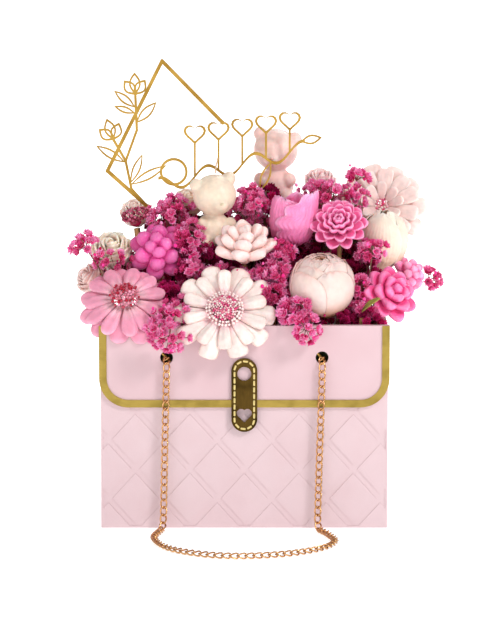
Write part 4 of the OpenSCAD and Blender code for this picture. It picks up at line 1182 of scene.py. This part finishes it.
def floret(radius, rnd):
    """A ragged double floret that faces +Z: points, faces and share from heart to tip."""
    points, faces, along = [], [], []
    for count, tilt, reach in ((7, 8, 1.0), (7, 32, 0.95), (6, 56, 0.86), (4, 78, 0.72)):
        turn = rnd.uniform(0, 360)
        for i in range(count):
            at = math.radians(turn + i * 360 / count + rnd.uniform(-12, 12))
            up = math.radians(tilt + rnd.uniform(-10, 10))
            length = radius * reach * rnd.uniform(0.85, 1.1)
            wide = length * rnd.uniform(0.36, 0.5)
            start = len(points)
            for u, w in ((0.12, 0.12), (0.62, 0.8), (1.0, 1.0)):
                bent = up + 0.35 * u
                for s in (-1, 0, 1):
                    notch = 0.14 * length if (u == 1.0 and s == 0) else 0
                    jag = rnd.uniform(-0.08, 0.08) * length if u == 1.0 else 0
                    far = u * length - notch + jag
                    x, z = far * math.cos(bent), far * math.sin(bent)
                    z += 0.16 * length * abs(s) * u
                    y = s * w * wide
                    cos, sin = math.cos(at), math.sin(at)
                    points.append((x * cos - y * sin, x * sin + y * cos, z))
                    along.append(u)
            for a in (0, 1):
                for b in (0, 1):
                    k = start + a * 3 + b
                    faces.append([k, k + 1, k + 4, k + 3])
    return np.array(points), faces, np.array(along)


rnd = random.Random(52)
FLORETS = [floret(3.9, rnd) for _ in range(12)]
BUD = ball(1.25, 1.15, 5, 7)
print(len(FLORETS), "florets")

# %% [markdown]
# ## Room for the flowers
# Florets push between the flowers but not through them. A test against balls is quick,
# where a test against meshes would be slow.

# %% Room for the flowers
# Balls that the flowers fill, which florets keep out of: place, tilt, heading, height, radius
BLOOMS = [
    ([-83, -36, 14], 46, -90, 5, 20), ([-14, -46, 9], 58, -88, 4, 22),
    ([-60, 2, 44], 62, -92, 8, 17), ([0, -19, 44], 18, -90, 12, 19),
    ([-92, 12, 38], 40, -100, 12, 13), ([-76, 40, 62], 30, -110, 9, 10),
    ([-103, 6, 22], 56, -150, 9, 10), ([-40, 37, 70], 30, -90, 9, 10),
    ([54, 38, 84], 25, -80, 9, 10), ([31, 6, 48], 14, -70, 14, 15),
    ([31, 6, 48], 14, -70, 32, 15), ([67, -6, 62], 50, -94, 8, 18),
    ([55, -24, 4], 16, -96, 23, 23), ([97, 12, 33], 8, -60, 12, 16),
    ([97, 12, 33], 8, -60, 26, 16), ([98, -17, 15], 60, -56, 8, 18),
    ([113, 10, 27], 70, -40, 6, 12), ([99, 54, 69], 64, -94, 6, 22),
    ([-22, 5.5, 50], 0, 0, 12, 13), ([-22, 5.5, 50], 0, 0, 36, 17),
    ([23, 46, 76], 0, 0, 12, 13), ([23, 46, 76], 0, 0, 38, 17), ([-48, 44, 22], 48, 96, 12, 14),
    ([-4, 46, 26], 44, 88, 12, 14), ([42, 46, 22], 48, 84, 12, 14),
]  # fmt: skip
CENTRES = [np.array((stand(p, t, h) @ Vector((0, 0, up)))[:]) for p, t, h, up, _ in BLOOMS]


def clear(at, margin=1.5):
    """Whether a floret at this point is outside every flower and over the rim."""
    for centre, bloom in zip(CENTRES, BLOOMS):
        if np.linalg.norm(at - centre) < bloom[4] + margin:
            return False
    inside = abs(at[0]) < 96 and abs(at[1]) < 46
    return at[2] > BOX_H + (-8 if inside else 3) or at[1] < -57


def aim_matrix(at, way):
    """A matrix at a point whose +Z looks along way."""
    quat = Vector(way).to_track_quat("Z", "Y")
    return Matrix.Translation(Vector(at)) @ quat.to_matrix().to_4x4()


def put_floret(heap, at, way, rnd, size, tone):
    points, faces, along = FLORETS[rnd.randrange(len(FLORETS))]
    place = aim_matrix(at, way) @ turn_z(rnd.uniform(0, 360)) @ Matrix.Scale(size, 4)
    heap.add(points, faces, place, slot=0, along=along, tone=rnd.uniform(*tone))


def put_bud(heap, at, rnd, tone=(0.3, 1.0)):
    points, faces = BUD
    size = rnd.uniform(0.6, 1.1)
    heap.add(points * size, faces, move(*at), slot=0, along=rnd.uniform(0.2, 0.9),
             tone=rnd.uniform(*tone))  # fmt: skip


def put_stem(heap, path, radius):
    points, faces = tube(path, radius, 5)
    heap.add(points, faces, slot=1, along=0.0, tone=0.5)


def unit(v):
    v = np.asarray(v, float)
    return v / np.linalg.norm(v)


print(len(BLOOMS), "balls to keep out of")

# %% [markdown]
# ## Sprays and tufts
# A spray is one forked stem as the CAD has it. A tuft fills an egg between flowers, so
# that no foam shows; the darkest tufts are painted shade there.

# %% Sprays and tufts
FOAM_TOP = 128.0
# Radii of a stem, of a spray's fork and of a tuft's
STEM, TWIG, HAIR = 0.5, 0.28, 0.22


def spray(heap, spec, rnd):
    """One stem as the CAD has it, with twice as many florets."""
    crown = np.array([spec[0][0], spec[0][1], spec[0][2] + BOX_H], float)
    foot = np.array([spec[1][0], spec[1][1], FOAM_TOP - 13], float)
    bend = foot
    if len(spec) > 5:
        bend = np.array([spec[5][0], spec[5][1], spec[5][2] + BOX_H], float)
    reach, count, turn0 = spec[2], spec[3], spec[4]
    aim = unit(crown - bend)
    fork = crown - aim * reach * 0.6
    side = unit(np.cross(aim, [0, 1, 0] if abs(aim[1]) < 0.9 else [1, 0, 0]))
    other = np.cross(aim, side)
    if len(spec) > 5:
        put_stem(heap, [foot, (foot + bend) / 2 + [0, 0, 2], bend], STEM)
    put_stem(heap, [bend, (bend + fork) / 2, fork], STEM)
    total = count * 2
    for i in range(total):
        polar = math.acos(1 - (i + 0.5) / total * 0.9)
        turn = math.radians(turn0 + i * 137.5)
        away = reach * rnd.uniform(0.7, 1.18)
        outward = math.cos(turn) * side + math.sin(turn) * other
        way = math.cos(polar) * aim + math.sin(polar) * outward
        at = fork + away * way
        middle = fork + away * 0.5 * unit(way + aim * 0.4)
        put_stem(heap, [fork, middle, at], TWIG)
        put_floret(heap, at, way, rnd, rnd.uniform(0.85, 1.15), (0.35, 1.0))
        if i % 3 == 0:
            aside = np.array([rnd.uniform(-4, 4) for _ in range(3)])
            put_bud(heap, at + unit(way) * 1.5 + aside, rnd)


def tuft(heap, centre, size, count, root, rnd, scale, tone):
    """Florets spread through an egg of half-sizes size over the rim, on fine stems."""
    centre = np.array([centre[0], centre[1], centre[2] + BOX_H], float)
    root = np.array([root[0], root[1], FOAM_TOP - 4], float)
    fork = centre * 0.55 + root * 0.45
    put_stem(heap, [root, fork], STEM)
    for i in range(count):
        share = (i + 0.5) / count
        polar = math.acos(1 - 1.8 * share)
        turn = i * GOLDEN + rnd.uniform(-0.3, 0.3)
        way = np.array(
            [math.sin(polar) * math.cos(turn), math.sin(polar) * math.sin(turn), math.cos(polar)]
        )
        at = centre + way * np.array(size) * rnd.uniform(0.5, 1.05)
        if not clear(at):
            continue
        put_stem(heap, [fork, (fork + at) / 2 + [0, 0, 1.5], at], HAIR)
        look = unit(way + np.array([0, -0.5, 0.3]))
        put_floret(heap, at, look, rnd, scale * rnd.uniform(0.75, 1.2), tone)
        if i % 4 == 0:
            bud = at + np.array([rnd.uniform(-5, 5), rnd.uniform(-5, 1), rnd.uniform(-4, 5)])
            if clear(bud, 0.5):
                put_bud(heap, bud, rnd, tone)


print("sprays and tufts ready")

# %% [markdown]
# ## Where the sprays stand
# The eight nodes of the CAD each take their sprays and tufts. Their places could be
# scattered at random, but they are listed one by one, to leave the flowers in view.

# %% Where the sprays stand
# Crown over the rim, root, reach, florets, turn and perhaps a bend
SPRAYS = {
    "gypsophila_left": [
        [[-114, -14, 55], [-80, -10], 10, 7, 112, [-102, -12, 36]],
        [[-101, 26, 46], [-77, 28], 8, 6, 55]],
    "gypsophila_top_left": [
        [[-50, 11, 78], [-40, 12], 12, 7, 10], [[-37, -20, 38], [-34, -16], 8, 6, 60]],
    "gypsophila_front": [
        [[-52, -70, -7], [-43, -28], 11, 7, 20, [-50, -47, 10]],
        [[-61, -71, -1], [-50, -30], 6, 4, 80, [-54, -47, 11]]],
    "gypsophila_middle": [
        [[8, 5, 82], [6, 6], 9, 7, 0], [[-4, 35, 72], [-10, 30], 8, 5, 30]],
    "gypsophila_centre": [
        [[26, -19, 50], [21, -17], 9, 7, 75], [[23, -35, 35], [18, -28], 6, 4, 20],
        [[44, -65, -1], [34, -30], 9, 6, 10, [36, -47, 9]]],
    "gypsophila_right": [
        [[90, -20, 52], [81, -8], 9, 6, 0], [[134, 20, 24], [76, 24], 8, 5, 70, [102, 24, 11]]],
    "gypsophila_top_right": [
        [[62, 14, 88], [60, 12], 12, 7, 0], [[80, 28, 98], [76, 28], 8, 5, 45]],
    "gypsophila_back": [
        [[-26, 48, 48], [-26, 40], 11, 7, 0], [[13, 55, 54], [12, 42], 8, 6, 75],
        [[70, 52, 40], [67, 36], 11, 7, 60], [[-92, 52, 30], [-76, 42], 10, 7, 90]],
}  # fmt: skip
# Tones, partly random dye and partly painted light: full sun, half shade, and painted
# shade, near-black crimson florets in the dark between stems. A tuft has its centre over
# the rim, half-sizes, count, root in the foam, floret size and tones
BRIGHT, MIXED, PAINTED_SHADE = (0.4, 1.0), (0.35, 1.0), (0.0, 0.25)
TUFTS = {
    "gypsophila_left": [
        ([-94, -8, 42], (15, 9, 9), 26, (-76, -8), 0.95, MIXED),
        ([-84, 2, 32], (16, 10, 10), 26, (-76, 0), 1.0, PAINTED_SHADE),
        ([-84, 34, 26], (14, 10, 20), 26, (-74, 30), 1.1, PAINTED_SHADE)],
    "gypsophila_top_left": [
        ([-54, 10, 68], (15, 9, 12), 40, (-46, 12), 0.9, BRIGHT),
        ([-38, -10, 52], (11, 8, 18), 40, (-34, -8), 0.95, MIXED),
        ([-36, -14, 26], (12, 9, 14), 30, (-34, -12), 1.0, MIXED),
        ([-48, 12, 30], (16, 14, 26), 70, (-44, 8), 1.15, PAINTED_SHADE),
        ([-48, -16, 8], (18, 10, 10), 36, (-44, -14), 1.1, PAINTED_SHADE),
        ([-46, -12, 40], (14, 8, 12), 40, (-44, -10), 1.1, PAINTED_SHADE),
        ([-54, -24, 18], (9, 6, 9), 30, (-48, -20), 1.1, PAINTED_SHADE),
        ([-28, -8, 44], (8, 6, 10), 24, (-28, -6), 1.1, PAINTED_SHADE),
        ([-42, 30, 70], (16, 8, 14), 50, (-40, 30), 1.1, PAINTED_SHADE)],
    "gypsophila_front": [
        ([-54, -54, 6], (11, 7, 9), 22, (-48, -34), 0.95, BRIGHT),
        ([-46, -44, 10], (10, 8, 10), 24, (-44, -32), 1.0, MIXED)],
    "gypsophila_middle": [
        ([5, 12, 78], (12, 9, 14), 50, (4, 12), 0.85, BRIGHT),
        ([6, 14, 60], (12, 9, 14), 40, (4, 14), 0.9, MIXED),
        ([-2, 14, 28], (20, 16, 30), 90, (0, 8), 1.2, PAINTED_SHADE),
        ([-4, -14, 14], (20, 8, 12), 40, (0, -12), 1.1, PAINTED_SHADE),
        ([-8, -24, 33], (20, 7, 9), 60, (-4, -18), 1.0, MIXED),
        ([18, 26, 80], (8, 6, 12), 24, (18, 26), 1.0, PAINTED_SHADE)],
    "gypsophila_centre": [
        ([20, -24, 36], (14, 9, 16), 60, (18, -20), 1.0, MIXED),
        ([20, -34, 20], (12, 8, 12), 44, (20, -28), 1.0, MIXED),
        ([36, -50, 10], (13, 8, 10), 40, (32, -32), 1.0, BRIGHT),
        ([30, -12, 14], (18, 12, 14), 50, (28, -10), 1.15, PAINTED_SHADE)],
    "gypsophila_right": [
        ([82, -28, 22], (8, 7, 16), 34, (78, -24), 0.9, MIXED),
        ([88, -8, 46], (10, 8, 12), 20, (84, 0), 0.85, BRIGHT),
        ([80, -6, 24], (18, 12, 22), 60, (78, -4), 1.15, PAINTED_SHADE),
        ([86, -34, 4], (14, 8, 7), 24, (80, -30), 1.0, PAINTED_SHADE),
        ([62, -36, 3], (14, 7, 7), 40, (60, -30), 1.0, PAINTED_SHADE),
        ([84, -30, 8], (12, 7, 7), 40, (80, -26), 1.0, MIXED)],
    "gypsophila_top_right": [
        ([52, 18, 86], (13, 9, 9), 26, (50, 20), 0.85, BRIGHT),
        ([78, 26, 80], (12, 9, 12), 26, (76, 24), 0.85, BRIGHT),
        ([58, 22, 60], (18, 10, 16), 60, (56, 20), 1.0, MIXED),
        ([62, 20, 28], (24, 16, 26), 90, (60, 16), 1.2, PAINTED_SHADE)],
    "gypsophila_back": [
        ([-50, 40, 50], (22, 8, 18), 60, (-50, 38), 1.2, PAINTED_SHADE),
        ([0, 40, 52], (24, 8, 22), 70, (0, 38), 1.2, PAINTED_SHADE),
        ([48, 40, 56], (22, 8, 22), 70, (48, 38), 1.2, PAINTED_SHADE),
        ([84, 36, 44], (14, 8, 24), 50, (80, 34), 1.2, PAINTED_SHADE),
        ([-70, 48, 24], (16, 9, 20), 44, (-66, 42), 1.0, MIXED),
        ([-24, 46, 30], (16, 9, 24), 50, (-26, 40), 1.05, MIXED),
        ([20, 48, 30], (14, 9, 24), 50, (20, 42), 1.05, MIXED),
        ([72, 46, 28], (16, 9, 22), 44, (68, 38), 1.05, MIXED)],
}  # fmt: skip
print(len(SPRAYS), "sprays,", sum(len(t) for t in TUFTS.values()), "tufts")

# %% [markdown]
# ## Growing the gypsophila
# Each node becomes one object, its florets and its stems in two materials.

# %% Growing the gypsophila
rnd = random.Random(61)
for node, specs in SPRAYS.items():
    heap = Heap()
    for spec in specs:
        spray(heap, spec, rnd)
    for centre, size, count, root, scale, tone in TUFTS[node]:
        tuft(heap, centre, size, count, root, rnd, scale, tone)
    heap.piece(node.replace("gypsophila", "florets"), [dyed, stalk], slot="dyed_gypsophila",
               replaces=(node,), outward=False)  # fmt: skip
    print(node, heap.count, "points")

# %% [markdown]
# ## Berries and leaf
# The berries are wax balls wound round a spike by the golden angle, as seeds grow. The
# leaf is one thin petal.

# %% Berries and leaf
# Berries: a short crimson spike that lies to the right, on its own wax knob
heap = Heap()
place = stand([-77, 7, 66], 30, -90)
rnd = random.Random(70)
BERRIES = 64
for k in range(BERRIES):
    share, turn = (k + 0.5) / BERRIES, k * GOLDEN
    r = 4.2 * math.sin(math.pi * (0.12 + 0.8 * share)) + 0.6
    at = (-9 + 19 * share, r * math.cos(turn), 4.5 + 5 * share + r * math.sin(turn))
    bead(heap, place, at, (0.9, 1.35), rnd, high=0.7)
points, faces = ball(4.6, 0.8)
heap.add(points, faces, place @ move(0, 0, 1), tone=0.0)
berry_wax = bead_material("crimson_berries", "#8a1338", "#e0789a", 0.3)
heap.piece("berries", [berry_wax], slot="crimson_wax", replaces=("berry_sprig",))

heap = Heap()
points, faces, values = petal(17, 7, 1.0, root=0.3, widest=0.45, blunt=1.4, start=6, curl=-22,
                              cup=1.2, ridge=0.1, ridges=5)  # fmt: skip
heap.add(points, faces, stand([82, -42, 10], 30, -60) @ turn_y(-64), tone=0.5, **values)
leaf_green = wax_material("leaf_green", "#5d5a24", "#8a8738", "#a39c4a", 0.5, 0.1)
heap.piece("leaf", [leaf_green], slot="leaf_green", replaces=("green_leaf",))

# %% [markdown]
# ## Stage and light
# A white floor and backdrop, a soft key lamp from the right, a weak fill from the left
# and a lamp from behind that lifts the flowers off the white.

# %% Stage and light
floor_mesh = bpy.data.meshes.new("floor")
floor_mesh.from_pydata([(-6, -6, 0), (6, -6, 0), (6, 10, 0), (-6, 10, 0)], [], [(0, 1, 2, 3)])
floor = bpy.data.objects.new("floor", floor_mesh)
scene.collection.objects.link(floor)
floor_material, tree, shader = new_material(
    "white_floor",
    {"Base Color": (0.9, 0.9, 0.9, 1), "Roughness": 0.8, "Specular IOR Level": 0.1,
     "Emission Color": (1, 1, 1, 1)},
)  # fmt: skip
# The floor glows, painted light that also lights the box: its emission rises from 0.58
# round the box, where it keeps a faint shadow, to 1.1 further out, as white as the backdrop
middle = add_node(
    tree, "ShaderNodeVectorMath",
    {0: where(tree), 1: (0, -0.05, 0)},
    operation="DISTANCE",
).outputs["Value"]  # fmt: skip
tree.links.new(ramp(tree, middle, 0.14, 0.6, 0.58, 1.1), shader.inputs["Emission Strength"])
floor_mesh.materials.append(floor_material)

world = bpy.data.worlds.new("studio")
scene.world = world
world.use_nodes = True
tree = world.node_tree
background = tree.nodes["Background"]
background.inputs["Color"].default_value = (1, 1, 1, 1)
seen = add_node(tree, "ShaderNodeLightPath")
plain = ramp(tree, seen.outputs["Is Camera Ray"], 0, 1, 0.5, 1.0)
tree.links.new(plain, background.inputs["Strength"])

# The point that the lamps face, in metres
LOOK = Vector((0, 0, 0.15))


def lamp(name, at, size, watts):
    """A square lamp of that size in metres that looks at the flowers."""
    data = bpy.data.lights.new(name, "AREA")
    data.size = size
    data.energy = watts
    obj = bpy.data.objects.new(name, data)
    obj.location = at
    obj.rotation_euler = (LOOK - Vector(at)).to_track_quat("-Z", "Y").to_euler()
    scene.collection.objects.link(obj)


lamp("key", (1.5, -1.5, 1.8), 0.6, 34)
lamp("fill", (-1.6, -1.9, 1.0), 1.6, 7)
lamp("back", (0.5, 1.5, 2.0), 0.9, 20)
